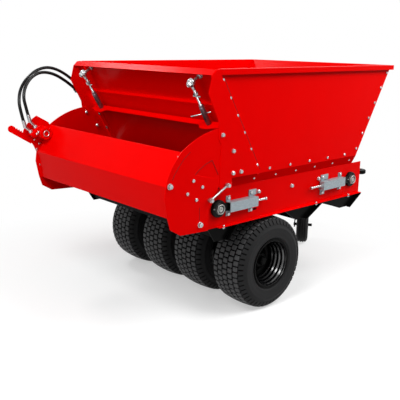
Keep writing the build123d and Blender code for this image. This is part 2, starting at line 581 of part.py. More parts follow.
def conveyor_motor():
    """Hydraulic motor on the drive roller's left end, with its hose manifold on top."""
    y, z = ROLLER_Y[0], ROLLER_Z
    face = DRIVE_MOTOR_X[1]
    motor = disc_x(y, z, DRIVE_MOTOR_R, *DRIVE_MOTOR_X)
    motor += block((face - DRIVE_FLANGE_T, face), around(y, DRIVE_FLANGE), around(z, DRIVE_FLANGE))
    motor += block(MANIFOLD_X, around(y, MANIFOLD_HALF), (z + MANIFOLD_Z[0], z + MANIFOLD_Z[1]))
    spacer = disc_x(y, z, HOLDER_R, face, -HOLDER_X[1]) - disc_x(y, z, HOLDER_LIP_R, face, -HOLDER_X[1])
    return motor + spacer - disc_x(y, z, SHAFT_R + RUN_FIT, -DRIVE_END - 1, face)


# Metering gate

def on_screw(s):
    return (SCREW_X, *on_wall(s, SCREW_OFF))


def across_wall(x, s, off0, off1, radius):
    """Rod square to the rear wall."""
    return rod((x, *on_wall(s, off0)), (x, *on_wall(s, off1)), radius)


def on_wall_strip(s, off, x0, x1):
    """Flat bar along the rear wall between two distances down it, two off it and two x planes."""
    corners = [on_wall(s[0], off[0]), on_wall(s[1], off[0]), on_wall(s[1], off[1]), on_wall(s[0], off[1])]
    return plate(corners, x0, x1)


def gate():
    """Sheet with a ledge folded along its top, shaped into a tab round each screw."""
    outline = LEDGE_EDGE + [(-x, y) for x, y in LEDGE_EDGE[::-1]]
    body = on_wall_strip((LEDGE_S, GATE_FOOT_S), (GATE_OFF, GATE_OFF + GATE_T), -GATE_HALF, GATE_HALF)
    body += extrude(wall_plane(LEDGE_S) * make_face(Polyline(*outline, close=True)), GATE_T)
    hole = rod(on_screw(LEDGE_S - GATE_T), on_screw(LEDGE_S + 2 * GATE_T), SLEEVE_NECK_R + RUN_FIT)
    for cut in pair(hole):
        body -= cut
    return body


def gate_guide():
    """Channel on the rear wall that the gate's edge slides in, with its three bolts."""
    inner, web, outer = GUIDE_X
    back, front = GATE_OFF - GUIDE_GAP, GATE_OFF + GATE_T + GUIDE_GAP
    face = front + GUIDE_T
    guide = on_wall_strip(GUIDE_S, (STEP_OUT, front), web, outer)
    guide += on_wall_strip(GUIDE_S, (back - GUIDE_T, back), inner, outer)
    guide += on_wall_strip(GUIDE_S, (front, face), inner, outer)
    for s in GUIDE_BOLT_S:
        guide += across_wall(GUIDE_BOLT_X, s, face, face + GUIDE_BOLT_HIGH, GUIDE_BOLT_R)
    return guide


def wall_nut(off):
    """Nut on the stud, square to the rear wall."""
    middle = Plane(origin=(SCREW_X, *on_wall(STUD_S, off)), x_dir=(1, 0, 0), z_dir=wall_plane(0).y_dir)
    return extrude(middle * RegularPolygon(STUD_NUT / math.sqrt(3), 6), STUD_NUT_T)


def screw_stud():
    """Stud on the rear wall that holds the eye of the screw between two nuts."""
    stud = across_wall(SCREW_X, STUD_S, SHEET, STUD_OUT, STUD_R)
    stud += across_wall(SCREW_X, STUD_S, SHEET, 2 * SHEET, STUD_WASHER_R)
    return stud + wall_nut(2 * SHEET) + wall_nut(EYE_END_OFF[1])


def screw():
    """Eye screw that hangs on the stud, with a stop nut and a stop bar."""
    eye = across_wall(SCREW_X, STUD_S, *EYE_END_OFF, EYE_END_R)
    eye += rod(on_screw(STUD_S + EYE_END_R - EYE_NECK_IN), on_screw(SLEEVE_S[0] + SLEEVE_HOLD), SCREW_R)
    nut = Plane(origin=on_screw(STOP_NUT_S), x_dir=(1, 0, 0), z_dir=wall_plane(0).z_dir)
    eye += extrude(nut * RegularPolygon(STOP_NUT_R, 6), STOP_NUT_HIGH)
    y, z = on_wall(STOP_BAR_S, SCREW_OFF)
    eye += disc_x(y, z, STOP_BAR_R, *around(SCREW_X, STOP_BAR_HALF))
    return eye - across_wall(SCREW_X, STUD_S, *EYE_END_OFF, STUD_R)


def sleeve():
    """Threaded sleeve that hangs the gate on its screw, held in the ledge by a shoulder and a washer."""
    top, foot = SLEEVE_S
    under = LEDGE_S + GATE_T + RUN_GAP
    tube = rod(on_screw(top), on_screw(LEDGE_S - RUN_GAP), SLEEVE_R)
    tube += rod(on_screw(top), on_screw(foot), SLEEVE_NECK_R)
    tube += rod(on_screw(under), on_screw(under + SLEEVE_WASHER_T), SLEEVE_WASHER_R)
    return tube - rod(on_screw(top - 1), on_screw(foot + 1), SCREW_R + RUN_FIT)


def tommy_bar():
    """Cross bar in two lengths either side of the screw, held in the sleeve's wall."""
    cosine, sine = math.cos(TOMMY_TURN), math.sin(TOMMY_TURN)
    long_end = (SCREW_X - TOMMY_LONG * cosine, *on_wall(TOMMY_S, SCREW_OFF + TOMMY_LONG * sine))
    short_end = (SCREW_X + TOMMY_SHORT * cosine, *on_wall(TOMMY_S, SCREW_OFF - TOMMY_SHORT * sine))
    return rod(long_end, short_end, TOMMY_R) - rod(on_screw(SLEEVE_S[0]), on_screw(SLEEVE_S[1]), SLEEVE_R)


# Frame

def end_gusset(y, rear, front):
    """Web under the side panel at the end of a cross member, with a flange along its front."""
    half, top, foot = MEMBER_W / 2, PANEL_Z[0], MEMBER_Z[0] - GUSSET_DROP
    web = plate([(rear, top), (y - half, foot), (y + half, foot), (front, top)], PANEL_X - GUSSET_T, PANEL_X)
    edge = folded([(y + half, foot), (front, top)], GUSSET_FLANGE_T)
    flange = plate(edge, PANEL_X, PANEL_X + GUSSET_FLANGE)
    return web + flange - block(around(PANEL_X, CUT), (rear - CUT, front + CUT), (top, top + CUT))


def cross_members():
    """Three tubes across the frame, with a gusset at each end."""
    half, side = PANEL_X - GUSSET_T, MEMBER_W / 2
    top = MEMBER_Z[1]
    feet = (REAR_MEMBER_FOOT_Z, MEMBER_Z[0], MEMBER_Z[0])
    solids = []
    for y, foot, rear, front in zip(MEMBER_Y, feet, GUSSET_REAR, GUSSET_FRONT):
        tube = block(around(0, half), around(y, side), (foot, top))
        tube -= block(around(0, half + 1), around(y, side - MEMBER_T), (foot + MEMBER_T, top - MEMBER_T))
        solids += [tube] + pair(end_gusset(y, rear, front))
    return group(solids)


def frame_rails():
    half = MEMBER_W / 2
    rails = []
    for y0, y1 in zip(MEMBER_Y, MEMBER_Y[1:]):
        rails += pair(block(around(RAIL_X, RAIL_W / 2), (y0 + half, y1 - half), RAIL_Z))
    return group(rails)


def drawbar():
    """Square tube with a capped end and a head plate for the tow eye."""
    rear, front = DRAW_Y
    hollow_z = (DRAW_Z[0] + DRAW_WALL, DRAW_Z[1] - DRAW_WALL)
    tube = block(around(0, DRAW_X), DRAW_Y, DRAW_Z)
    tube -= block(around(0, DRAW_X - DRAW_WALL), (rear - CUT, front - DRAW_CAP), hollow_z)
    return tube + block(around(0, HEAD_X), (front, front + HEAD_T), HEAD_Z)


def tow_eye():
    """Ring with a neck and a square flange."""
    back = DRAW_Y[1] + HEAD_T
    neck_back = back + EYE_FLANGE_T
    flange = block(around(0, EYE_FLANGE), (back, neck_back), around(EYE_Z, EYE_FLANGE))
    neck = block(around(0, EYE_NECK), (neck_back, EYE_Y - 2 * EYE_BORE_R), around(EYE_Z, EYE_THICK / 2))
    ring = chamfer(Cylinder(EYE_R, EYE_THICK).edges(), EYE_CHAMFER)
    eye = flange + neck + Pos(0, EYE_Y, EYE_Z) * ring
    return eye - Pos(0, EYE_Y, EYE_Z) * Cylinder(EYE_BORE_R, 2 * EYE_THICK)


# Bogies and wheels

def bogie_bracket():
    """Two cheeks under the rail with the pivot pin between them."""
    half = [(28, RAIL_Z[0]), (25, CHEEK_FOOT_Z + 9), (12, CHEEK_FOOT_Z)]
    outline = [(RAIL_X + x, z) for x, z in half] + [(RAIL_X - x, z) for x, z in half[::-1]]
    bracket = rod((RAIL_X, AXLE_Y - PIVOT_HALF, PIVOT_Z), (RAIL_X, AXLE_Y + PIVOT_HALF, PIVOT_Z), PIVOT_R)
    for y in (AXLE_Y - CHEEK_Y - CHEEK_T, AXLE_Y + CHEEK_Y):
        bracket += bar_x(outline, y, y + CHEEK_T)
    return bracket


def bogie_axle():
    """Rocking beam with the pivot tube and a wheel stub at each end."""
    def along(half, radius):
        return rod((RAIL_X, AXLE_Y - half, PIVOT_Z), (RAIL_X, AXLE_Y + half, PIVOT_Z), radius)

    beam = block(around(RAIL_X, BEAM_HALF), around(AXLE_Y, BEAM_W), (AXLE_Z - BEAM_DOWN, AXLE_Z + BEAM_UP))
    stub = disc_x(AXLE_Y, AXLE_Z, STUB_R, *around(RAIL_X, WHEEL_OFF + STUB_LONG))
    return along(PIVOT_TUBE_HALF, PIVOT_TUBE_R) + beam + stub - along(PIVOT_HALF, PIVOT_R + RUN_FIT)


def tyre():
    """Turf tyre, hollow above its beads."""
    side = [(102, RIM_R), (102, 138), (112, 156), (TYRE_HALF, 182), (111, 215), (104, 238), (88, 249),
            (50, 253), (0, TYRE_R)]
    outer = [(-x, r) for x, r in side] + side[::-1][1:]
    inner = [(92, RIM_R), (100, 150), (102, 180), (98, 210), (86, 232), (0, 238)]
    return spun(outer + inner + [(-x, r) for x, r in inner[::-1][1:]])


def wheel_rim():
    """Rim, dished disc and hub in one pressing; the dish opens towards +x."""
    flange, seat, groove, well = RIM_R + 9, RIM_R - 4, RIM_R - 12, RIM_R - 16
    bore = STUB_R + RUN_FIT
    half = [(50, groove), (60, RIM_R), (102, RIM_R), (102, flange)]
    tyre_side = [(-x, r) for x, r in half[::-1]] + half
    dish = [(106, flange), (106, seat), (64, seat), (54, well), (6, well), (-6, 100), (-10, 82), (-22, 76)]
    hub = [(-22, 40), (30, 40), (30, bore), (-52, bore), (-52, 34), (-30, 34)]
    back = [(-30, 80), (-16, 90), (-12, well), (-54, well), (-64, seat), (-106, seat), (-106, flange)]
    rim = spun(tyre_side + dish + hub + back)
    hole = Pos(0, STUD_CIRCLE_R, 0) * Rot(0, 90, 0) * Cylinder(STUD_HOLE_R, 2 * STUD_CIRCLE_R)
    for k in range(STUDS):
        rim -= Rot(360 / STUDS * k, 0, 0) * hole
    return rim


def wheel(shape, side, offset):
    """Place a wheel part; the dish faces away from the bogie pivot."""
    turned = shape if offset > 0 else Rot(0, 0, 180) * shape
    return Pos(side * RAIL_X + offset, AXLE_Y, AXLE_Z) * turned


# Jockey wheel

def jockey_place(shape):
    """From a frame on the swivel axis with +y along the wheel's rolling line."""
    return Pos(JOCKEY_X, JOCKEY_Y, 0) * Rot(0, 0, math.degrees(JOCKEY_TURN)) * shape


def jockey_sleeve():
    """Tube clamped beside the drawbar."""
    low, high = ((JOCKEY_X, JOCKEY_Y, z) for z in JOCKEY_SLEEVE_Z)
    clamp = block((JOCKEY_X + JOCKEY_POST_R, -DRAW_X), around(JOCKEY_Y, JOCKEY_CLAMP_HALF), JOCKEY_CLAMP_Z)
    tube = rod(low, high, JOCKEY_POST_R + JOCKEY_SLEEVE_T)
    return tube + clamp - rod(low, high, JOCKEY_POST_R + RUN_FIT)


def jockey_leg():
    """Swivelling post between two collars, with a one-sided fork and the wheel's axle."""
    def post(z0, z1, radius):
        return rod((0, 0, z0), (0, 0, z1), radius)

    low, high = JOCKEY_SLEEVE_Z
    arm_z = (JOCKEY_ARM_Z, JOCKEY_ARM_Z + JOCKEY_ARM_T)
    leg = post(sum(arm_z) / 2, high + JOCKEY_PROUD, JOCKEY_POST_R)
    leg += post(low - RUN_GAP - JOCKEY_COLLAR, low - RUN_GAP, JOCKEY_CAP_R + 1)
    leg += post(high + RUN_GAP, high + RUN_GAP + JOCKEY_CAP, JOCKEY_CAP_R)
    inside = -JOCKEY_HALF - JOCKEY_SIDE_GAP
    outside = inside - JOCKEY_CHEEK_T
    rear, front = JOCKEY_ARM_Y
    leg += block((outside, front), JOCKEY_ARM_Y, arm_z)
    foot_rear, foot_front = around(-JOCKEY_TRAIL, JOCKEY_FOOT_HALF)
    cheek = [(rear, arm_z[0]), (front, arm_z[0]), (foot_front, JOCKEY_FOOT_Z), (foot_rear, JOCKEY_FOOT_Z)]
    leg += plate(cheek, outside, inside)
    axle_x = (inside - JOCKEY_SIDE_GAP, JOCKEY_HALF + JOCKEY_AXLE_PROUD)
    return jockey_place(leg + disc_x(-JOCKEY_TRAIL, JOCKEY_R, JOCKEY_AXLE_R, *axle_x))


def jockey_tyre():
    side = [(28, 62), (36, 72), (JOCKEY_HALF, 95), (35, 116), (20, 127), (0, JOCKEY_R)]
    solid = spun([(-x, r) for x, r in side] + side[::-1][1:])
    return jockey_place(Pos(0, -JOCKEY_TRAIL, JOCKEY_R) * solid)


def jockey_rim():
    half = [(32, JOCKEY_AXLE_R + RUN_FIT), (32, 22), (10, 26), (10, 50), (28, 56), (28, 62)]
    solid = spun(half + [(-x, r) for x, r in half[::-1]])
    return jockey_place(Pos(0, -JOCKEY_TRAIL, JOCKEY_R) * solid)


# Bolts, drawn as the heads that stand on the plates

def heads(x, size, places):
    """Hexagon heads on a side plane at x."""
    across, high = size
    return [hex_x(y, z, across, x, x + high) for y, z in places]


def rivets():
    """Round rivets along the middle of the sloping skirt strip."""
    tilt = math.atan2(WALL_X - PANEL_X, WALL_FOOT_Z - PANEL_Z[1])
    out = Vector(math.cos(tilt), 0, -math.sin(tilt))
    x, z = (WALL_X + PANEL_X) / 2, (WALL_FOOT_Z + PANEL_Z[1]) / 2
    middles = [Vector(x, RIVET_START + RIVET_PITCH * k, z) for k in range(RIVETS)]
    return [rod(middle, middle + out * RIVET_HIGH, RIVET_R) for middle in middles]


def lip_bolts():
    across, high = SMALL_BOLT
    head = extrude(RegularPolygon(across / math.sqrt(3), 6), high)
    return [Pos(PANEL_X + LIP_BOLT_OUT, y, PANEL_Z[0] + PANEL_T) * head for y in LIP_BOLT_YS]


def panel_bolts():
    side = heads(WALL_X + SHEET, SMALL_BOLT, spaced((-172, 1240), (80, 812), 6))
    side += heads(WALL_X, SMALL_BOLT, spaced((179, 784), (834, 784), 5))
    side += heads(WALL_X, SMALL_BOLT, spaced((1212, 1244), (947, 809), 6))
    side += heads(WING_X, WING_BOLT, WING_BOLTS)
    side += heads(HOUSE_X, PLATE_BOLT, flange_bolts())
    side += heads(PANEL_X, PANEL_BOLT, [PANEL_BOLT_AT])
    for y, z in TILT_BOLTS:
        washer = disc_x(y, z, TILT_WASHER_R, HOUSE_X, HOUSE_X + TILT_WASHER_T)
        side.append(washer + heads(HOUSE_X + TILT_WASHER_T, TILT_BOLT, [(y, z)])[0])
    for near, far, _ in TAKE_UPS:
        for y, _, bolt in box_feet(near, far):
            side += heads(PANEL_X + BOX_T, PLATE_BOLT, [(y, BOX_Z[0] - bolt), (y, BOX_Z[1] + bolt)])
    both = []
    for head in side + rivets() + lip_bolts():
        both += pair(head)
    return group(both + heads(motor_x(), PLATE_BOLT, MOTOR_BOLTS))


def hopper_nodes():
    nodes = {"rear_wall": rear_wall(), "front_wall": front_wall(),
             "skirt_strips": group(pair(skirt_strip()))}
    for name, make in (("side_wall", side_wall), ("wing", wing), ("side_panel", side_panel)):
        nodes[name + "_right"], nodes[name + "_left"] = pair(make())
    return nodes


def conveyor_nodes():
    holders, boxes, rods = [], [], []
    for y, (near, far, tip) in zip(ROLLER_Y, TAKE_UPS):
        holders += pair(bearing_holder(y, near))
        boxes += pair(take_up_box(near, far))
        rods += pair(tension_rod(near, far, tip))
    return {"conveyor_belt": conveyor_belt(), "belt_bed": belt_bed(), "conveyor_motor": conveyor_motor(),
            "drive_roller": roller(ROLLER_Y[0], DRIVE_END), "idler_roller": roller(ROLLER_Y[1]),
            "bearing_holders": group(holders), "take_up_boxes": group(boxes), "tension_rods": group(rods)}


def brush_nodes():
    return {"housing_plate_right": housing_plate(), "housing_plate_left": drive_plate(),
            "rear_cover": rear_cover(), "brush_shaft": brush_shaft(), "brush_bristles": brush_bristles(),
            "brush_bearings": group(pair(brush_bearing())), "link_rods": group(pair(link_rod())),
            "motor_plate": motor_plate(), "brush_motor": brush_motor(), "motor_pulley": motor_pulley(),
            "brush_pulley": brush_pulley(), "drive_belt": drive_belt(), "drive_guard": drive_guard(),
            "hose_fittings": hose_fittings(), "hose_clip": hose_clip(),
            "hose_inner": hose(HOSE_INNER), "hose_outer": hose(HOSE_OUTER)}


def gate_nodes():
    nodes = {"gate": gate(), "gate_guides": group(pair(gate_guide())),
             "gate_screws": group(pair(screw_stud()) + pair(screw())), "tommy_bar": group([tommy_bar()])}
    nodes["sleeve_right"], nodes["sleeve_left"] = pair(sleeve())
    return nodes


def frame_nodes():
    nodes = {"cross_members": cross_members(), "frame_rails": frame_rails(), "drawbar": drawbar(),
             "tow_eye": tow_eye(), "bogie_brackets": group(pair(bogie_bracket())),
             "jockey_sleeve": jockey_sleeve(), "jockey_leg": jockey_leg(), "jockey_tyre": jockey_tyre(),
             "jockey_rim": jockey_rim(), "panel_bolts": panel_bolts()}
    nodes["bogie_axle_right"], nodes["bogie_axle_left"] = pair(bogie_axle())
    tyre_shape, rim_shape = tyre(), wheel_rim()
    for name, side, offset in (("outer_right", 1, WHEEL_OFF), ("inner_right", 1, -WHEEL_OFF),
                               ("inner_left", -1, WHEEL_OFF), ("outer_left", -1, -WHEEL_OFF)):
        nodes["tyre_" + name] = wheel(tyre_shape, side, offset)
        nodes["rim_" + name] = wheel(rim_shape, side, offset)
    return nodes


def main():
    os.makedirs("parts", exist_ok=True)
    nodes = hopper_nodes() | conveyor_nodes() | brush_nodes() | gate_nodes() | frame_nodes()
    for name, shape in nodes.items():
        export_step(Pos(0, -EYE_Y, -EYE_Z) * shape, "parts/" + name + ".step")


main()
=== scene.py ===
import bmesh
import bpy
import json
import math
from mathutils import Matrix, Vector


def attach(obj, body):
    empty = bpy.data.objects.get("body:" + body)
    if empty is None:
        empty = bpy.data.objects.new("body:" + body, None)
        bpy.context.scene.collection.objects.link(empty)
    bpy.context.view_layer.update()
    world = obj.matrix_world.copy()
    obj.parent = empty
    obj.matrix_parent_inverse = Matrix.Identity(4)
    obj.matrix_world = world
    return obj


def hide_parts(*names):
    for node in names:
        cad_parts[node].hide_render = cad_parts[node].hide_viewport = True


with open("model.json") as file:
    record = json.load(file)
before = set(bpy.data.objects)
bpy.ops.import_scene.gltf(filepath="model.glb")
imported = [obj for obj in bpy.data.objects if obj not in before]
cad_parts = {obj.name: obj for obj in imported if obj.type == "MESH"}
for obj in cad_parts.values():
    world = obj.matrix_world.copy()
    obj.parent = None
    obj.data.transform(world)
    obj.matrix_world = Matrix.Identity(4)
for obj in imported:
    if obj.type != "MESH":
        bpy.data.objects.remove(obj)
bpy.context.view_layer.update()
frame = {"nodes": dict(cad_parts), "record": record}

# Driving dimensions, in millimetres on the drawing
# +X is the machine's right, +Y the way it is towed, and z starts at the ground
MM = 0.001
SIDES = (1, -1)
EYE_Y, EYE_Z = 1880, 460
WALL_X, WING_X, HOUSE_X, PANEL_X = 571, 593, 589, 545
REAR_TOP_Y, FRONT_TOP_Y, RIM_Z = -231, 1256, 1289
REAR_LEAN, FRONT_LEAN = math.radians(30.5), math.radians(30.1)
BOGIE_X, WHEEL_OFF, AXLE_Y, AXLE_Z = 310.5, 163, 221.5, 254
ROLLER_YS, ROLLER_Z = (-162, 940), 620
BRUSH_Y, BRUSH_Z = -351, 746
MOTOR_X, MOTOR_Y, MOTOR_Z = -579, -497, 893


def at(x, y, z):
    """Place in the tow eye's frame, in metres, of a place on the drawing."""
    return Vector((x, y - EYE_Y, z - EYE_Z)) * MM


# Materials

# A colour Mix node's sockets
FACTOR, FIRST, SECOND, MIXED = 0, 6, 7, 2

# Sizes in millimetres of clouds, orange peel and relief
# Real orange peel is finer, and is drawn wide enough to show
PAINT_CLOUD, ORANGE_PEEL, DULL_CLOUD = 160, 3.5, 60
PEEL_DEEP, GRAIN_DEEP = 0.6, 0.8
# Strength of the peel, and how far roughness strays in paint, in a crystal and in a pore
PEEL_RELIEF, PAINT_DULLER, CRYSTAL_SHINIER, CRYSTAL_DULLER, PORE_SPREAD = 0.06, 0.08, 0.06, 0.08, 0.07


def linear(text):
    """Linear colour of an sRGB hex value."""
    channels = [int(text[i:i + 2], 16) / 255 for i in (1, 3, 5)]
    return [c / 12.92 if c <= 0.04045 else ((c + 0.055) / 1.055) ** 2.4 for c in channels] + [1]


def per_mm(size):
    """Texture scale for a pattern of that size in millimetres."""
    return 1000 / size


def add(tree, kind, inputs=None, **settings):
    """A node with its settings, and with its inputs set or linked."""
    made = tree.nodes.new(kind)
    for name, value in settings.items():
        setattr(made, name, value)
    for name, value in (inputs or {}).items():
        if isinstance(value, bpy.types.NodeSocket):
            tree.links.new(value, made.inputs[name])
        else:
            made.inputs[name].default_value = value
    return made


def cleared(owner):
    """Empty node tree of a material or of the world."""
    owner.use_nodes = True
    owner.node_tree.nodes.clear()
    return owner.node_tree


def blank(name, **sockets):
    """A plain material: its node tree, its shader and its object coordinates."""
    material = bpy.data.materials.new(name)
    tree = cleared(material)
    shader = add(tree, "ShaderNodeBsdfPrincipled", {k.replace("_", " "): v for k, v in sockets.items()})
    add(tree, "ShaderNodeOutputMaterial", {"Surface": shader.outputs["BSDF"]})
    place = add(tree, "ShaderNodeTexCoord").outputs["Object"]
    return material, tree, shader, place


def surface(tree, shader, shade, gloss, bump=None):
    """Link a shader to its colour, its roughness and, where it has one, its relief."""
    tree.links.new(shade.outputs[MIXED], shader.inputs["Base Color"])
    tree.links.new(gloss.outputs["Result"], shader.inputs["Roughness"])
    if bump:
        tree.links.new(bump.outputs["Normal"], shader.inputs["Normal"])


def enamel(name, deep, light, rough, ior):
    """Enamel sprayed on steel: an even colour that clouds a little, under a skin of faint orange peel."""
    material, tree, shader, place = blank(name, IOR=ior)
    cloud = add(tree, "ShaderNodeTexNoise", {"Vector": place, "Scale": per_mm(PAINT_CLOUD), "Detail": 4})
    shade = add(tree, "ShaderNodeMix", data_type="RGBA", inputs={
        FACTOR: cloud.outputs["Fac"], FIRST: linear(deep), SECOND: linear(light)})
    gloss = add(tree, "ShaderNodeMapRange", {
        "Value": cloud.outputs["Fac"], "To Min": rough, "To Max": rough + PAINT_DULLER})
    peel = add(tree, "ShaderNodeTexNoise", {"Vector": place, "Scale": per_mm(ORANGE_PEEL), "Detail": 1})
    bump = add(tree, "ShaderNodeBump", {
        "Height": peel.outputs["Fac"], "Strength": PEEL_RELIEF, "Distance": PEEL_DEEP * MM})
    surface(tree, shader, shade, gloss, bump)
    return material


def metal(name, dark, bright, rough, spangle, bare=0.9):
    """Plated or drawn steel: crystals of that size in millimetres, each a little lighter or darker.

    Bare is the share that mirrors as metal does; weathering dulls the rest.
    """
    material, tree, shader, place = blank(name, Metallic=bare)
    flakes = add(tree, "ShaderNodeTexVoronoi", {"Vector": place, "Scale": per_mm(spangle)})
    tone = add(tree, "ShaderNodeSeparateColor", {"Color": flakes.outputs["Color"]})
    shade = add(tree, "ShaderNodeMix", data_type="RGBA", inputs={
        FACTOR: tone.outputs["Red"], FIRST: linear(dark), SECOND: linear(bright)})
    gloss = add(tree, "ShaderNodeMapRange", {
        "Value": tone.outputs["Green"], "To Min": rough - CRYSTAL_SHINIER, "To Max": rough + CRYSTAL_DULLER})
    surface(tree, shader, shade, gloss)
    return material


def grained(name, dark, light, rough, grain, relief, ior):
    """Rubber, cast iron or fibre: a dull surface with grain of that size in millimetres."""
    material, tree, shader, place = blank(name, IOR=ior)
    cloud = add(tree, "ShaderNodeTexNoise", {"Vector": place, "Scale": per_mm(DULL_CLOUD), "Detail": 5})
    shade = add(tree, "ShaderNodeMix", data_type="RGBA", inputs={
        FACTOR: cloud.outputs["Fac"], FIRST: linear(dark), SECOND: linear(light)})
    pores = add(tree, "ShaderNodeTexNoise", {"Vector": place, "Scale": per_mm(grain), "Detail": 2})
    bump = add(tree, "ShaderNodeBump", {
        "Height": pores.outputs["Fac"], "Strength": relief, "Distance": GRAIN_DEEP * MM})
    gloss = add(tree, "ShaderNodeMapRange", {
        "Value": pores.outputs["Fac"], "To Min": rough - PORE_SPREAD, "To Max": rough + PORE_SPREAD})
    surface(tree, shader, shade, gloss, bump)
    return material


# Hopper, housing, gate and brush motor: sprayed enamel, one deep and even red that mirrors little
RED = enamel("red_enamel", "#E40000", "#EC0000", rough=0.2, ior=1.08)
# Skirts: the same enamel left matt so that the floor doesn't shine in it, and a little darker as painted
# shade under the hopper
MATT_SHADED_RED = enamel("matt_shaded_red_enamel", "#DC0000", "#E40000", rough=0.5, ior=1.03)
# Frame, drawbar, bogies, jockey leg and rim dishes: black enamel that stays black from every side
BLACK = enamel("black_enamel", "#030303", "#070707", rough=0.25, ior=1.12)
# Rim barrels and jockey rim: thick gloss enamel, black with bright arcs where its bends mirror a lamp
RIM_BLACK = enamel("rim_black_enamel", "#020203", "#050506", rough=0.13, ior=1.9)
# Bearing holders and pulleys: sand-cast iron painted dull black, its grain drawn coarse enough to show
CAST = grained("black_cast_iron", "#050505", "#0C0C0C", rough=0.4, grain=2.5, relief=0.3, ior=1.2)
# Take-up boxes: hot-dip zinc gone dull, a pale blue-grey with a faint spangle
GALVANISED = metal("galvanised_steel", "#8C979D", "#A9B4BA", rough=0.42, spangle=4, bare=0.4)
# Bolts, screws, rods and hose ends: bright zinc plate, almost white, its spots drawn large enough to show
ZINC = metal("bright_zinc_plate", "#A0A2A4", "#CACCCE", rough=0.2, spangle=3)
# Gate sleeves: plated tube gone dark and faintly purple, with a broken shine
DULL_ZINC = metal("passivated_steel", "#6C6068", "#8D828B", rough=0.4, spangle=4)
# Rollers, brush shaft and bearing inserts: steel turned on a lathe, a satin grey
TURNED = metal("turned_steel", "#8E8E8C", "#B5B5B2", rough=0.33, spangle=2)
# Tyre walls: moulded rubber, soft dark grey without a shine, its pores drawn large enough to show
TYRE = grained("tyre_rubber", "#101011", "#181819", rough=0.7, grain=2.2, relief=0.3, ior=1.3)
# Tread blocks: the same rubber in a paler grey, painted light where the block tops face the lamps
LIT_TREAD = grained("lit_tread_rubber", "#333334", "#414142", rough=0.5, grain=2.2, relief=0.3, ior=1.35)
# Grooves of the tread: the same rubber made nearly black, painted shade between the tread blocks
SHADED_GROOVE = grained("shaded_groove_rubber", "#040404", "#090909", rough=0.8, grain=2.2, relief=0.2, ior=1.12)
# Seams: a fine dark red line, painted shade along plate edges and seams
SEAM_SHADE = grained("painted_seam_shade", "#4A0000", "#620000", rough=0.6, grain=2, relief=0.2, ior=1.3)
# Conveyor belt, drive belt, hose clip and seals: black rubber with a low sheen
RUBBER = grained("black_rubber", "#090909", "#121212", rough=0.32, grain=1.8, relief=0.15, ior=1.4)
# Hoses: extruded cover, smooth and black, with a light line along its length
HOSE_COVER = grained("smooth_hose_rubber", "#020202", "#060606", rough=0.2, grain=6, relief=0.02, ior=1.3)
# Brush: nylon bristle, dull and nearly black
BRISTLE = grained("nylon_bristle", "#0C0C0C", "#1C1C1C", rough=0.6, grain=1.5, relief=0.3, ior=1.3)

SLOT_FINISH = {"red_paint": RED, "black_paint": BLACK, "black_casting": CAST, "galvanised": GALVANISED,
               "zinc_plate": ZINC, "roller_steel": TURNED, "tyre_rubber": TYRE, "black_rubber": RUBBER,
               "bristle": BRISTLE}
NODE_FINISH = {"skirt_strips": MATT_SHADED_RED}


# Solids from the frame

EDGE_RADIUS = {"red_paint": 1.2, "black_paint": 1.5, "black_casting": 1.5, "galvanised": 1.0,
               "zinc_plate": 0.6}
WELD_GAP, FLAT_WITHIN, EDGE_OVER = 0.01, math.radians(0.5), math.radians(30)


def dress(node, slot):
    """Give a carried-over solid its finish, and soften its edges as its sheet or casting has them."""
    solid = frame["nodes"][node]
    solid.data.materials.clear()
    solid.data.materials.append(NODE_FINISH.get(node, SLOT_FINISH[slot]))
    if slot not in EDGE_RADIUS:
        return
    weld = solid.modifiers.new("weld", "WELD")
    weld.merge_threshold = WELD_GAP * MM
    flat = solid.modifiers.new("flat", "DECIMATE")
    flat.decimate_type = "DISSOLVE"
    flat.angle_limit = FLAT_WITHIN
    edge = solid.modifiers.new("edge", "BEVEL")
    edge.width = EDGE_RADIUS[slot] * MM
    edge.segments = 2
    edge.limit_method = "ANGLE"
    edge.angle_limit = EDGE_OVER
    edge.harden_normals = True


for entry in frame["record"]["subparts"]:
    dress(entry["node"], entry["material_slot"])


# Modelling

FULL_TURN = 2 * math.pi
THREAD_STEPS = 14


def placed(name, data):
    """New object with that data, linked into the scene."""
    made = bpy.data.objects.new(name, data)
    bpy.context.scene.collection.objects.link(made)
    return made


def piece(name, bm, finish, body, slot, *stands_for, smooth=35):
    """Link a modelled mesh as a piece that rides on a body and stands for those solids."""
    mesh = bpy.data.meshes.new(name)
    bm.to_mesh(mesh)
    bm.free()
    mesh.shade_smooth()
    mesh.set_sharp_from_angle(angle=math.radians(smooth))
    mesh.materials.append(finish)
    made = placed(name, mesh)
    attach(made, body)
    if stands_for:
        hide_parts(*stands_for)


def joined(*parts):
    """One mesh out of several."""
    whole = bmesh.new()
    for part in parts:
        mesh = bpy.data.meshes.new("part")
        part.to_mesh(mesh)
        part.free()
        whole.from_mesh(mesh)
        bpy.data.meshes.remove(mesh)
    return whole


def moved(bm, matrix):
    """The same mesh, moved by a matrix."""
    bmesh.ops.transform(bm, matrix=matrix, verts=bm.verts)
    return bm


def shift(x, y, z):
    """Matrix of a move in millimetres."""
    return Matrix.Translation(Vector((x, y, z)) * MM)


def toward(place, axis):
    """Matrix that turns the x axis on to an axis and starts it from a place on the drawing."""
    return Matrix.Translation(at(*place)) @ Vector(axis).to_track_quat("X", "Z").to_matrix().to_4x4()


def facing(place, side):
    """Matrix that moves to a place on the drawing and points the x axis out to that side."""
    return Matrix.Translation(at(*place)) @ Matrix.Rotation(0 if side > 0 else math.pi, 4, "Z")


def cube():
    """Cube of one metre about the origin."""
    bm = bmesh.new()
    bmesh.ops.create_cube(bm, size=1)
    return bm


def bevelled(bm, edges, width, segments):
    """Take those edges off flat with one segment, or round with more."""
    bmesh.ops.bevel(bm, geom=edges, offset=width * MM, offset_type="OFFSET", segments=segments, profile=0.5,
                    affect="EDGES", clamp_overlap=True, material=-1)
    return bm


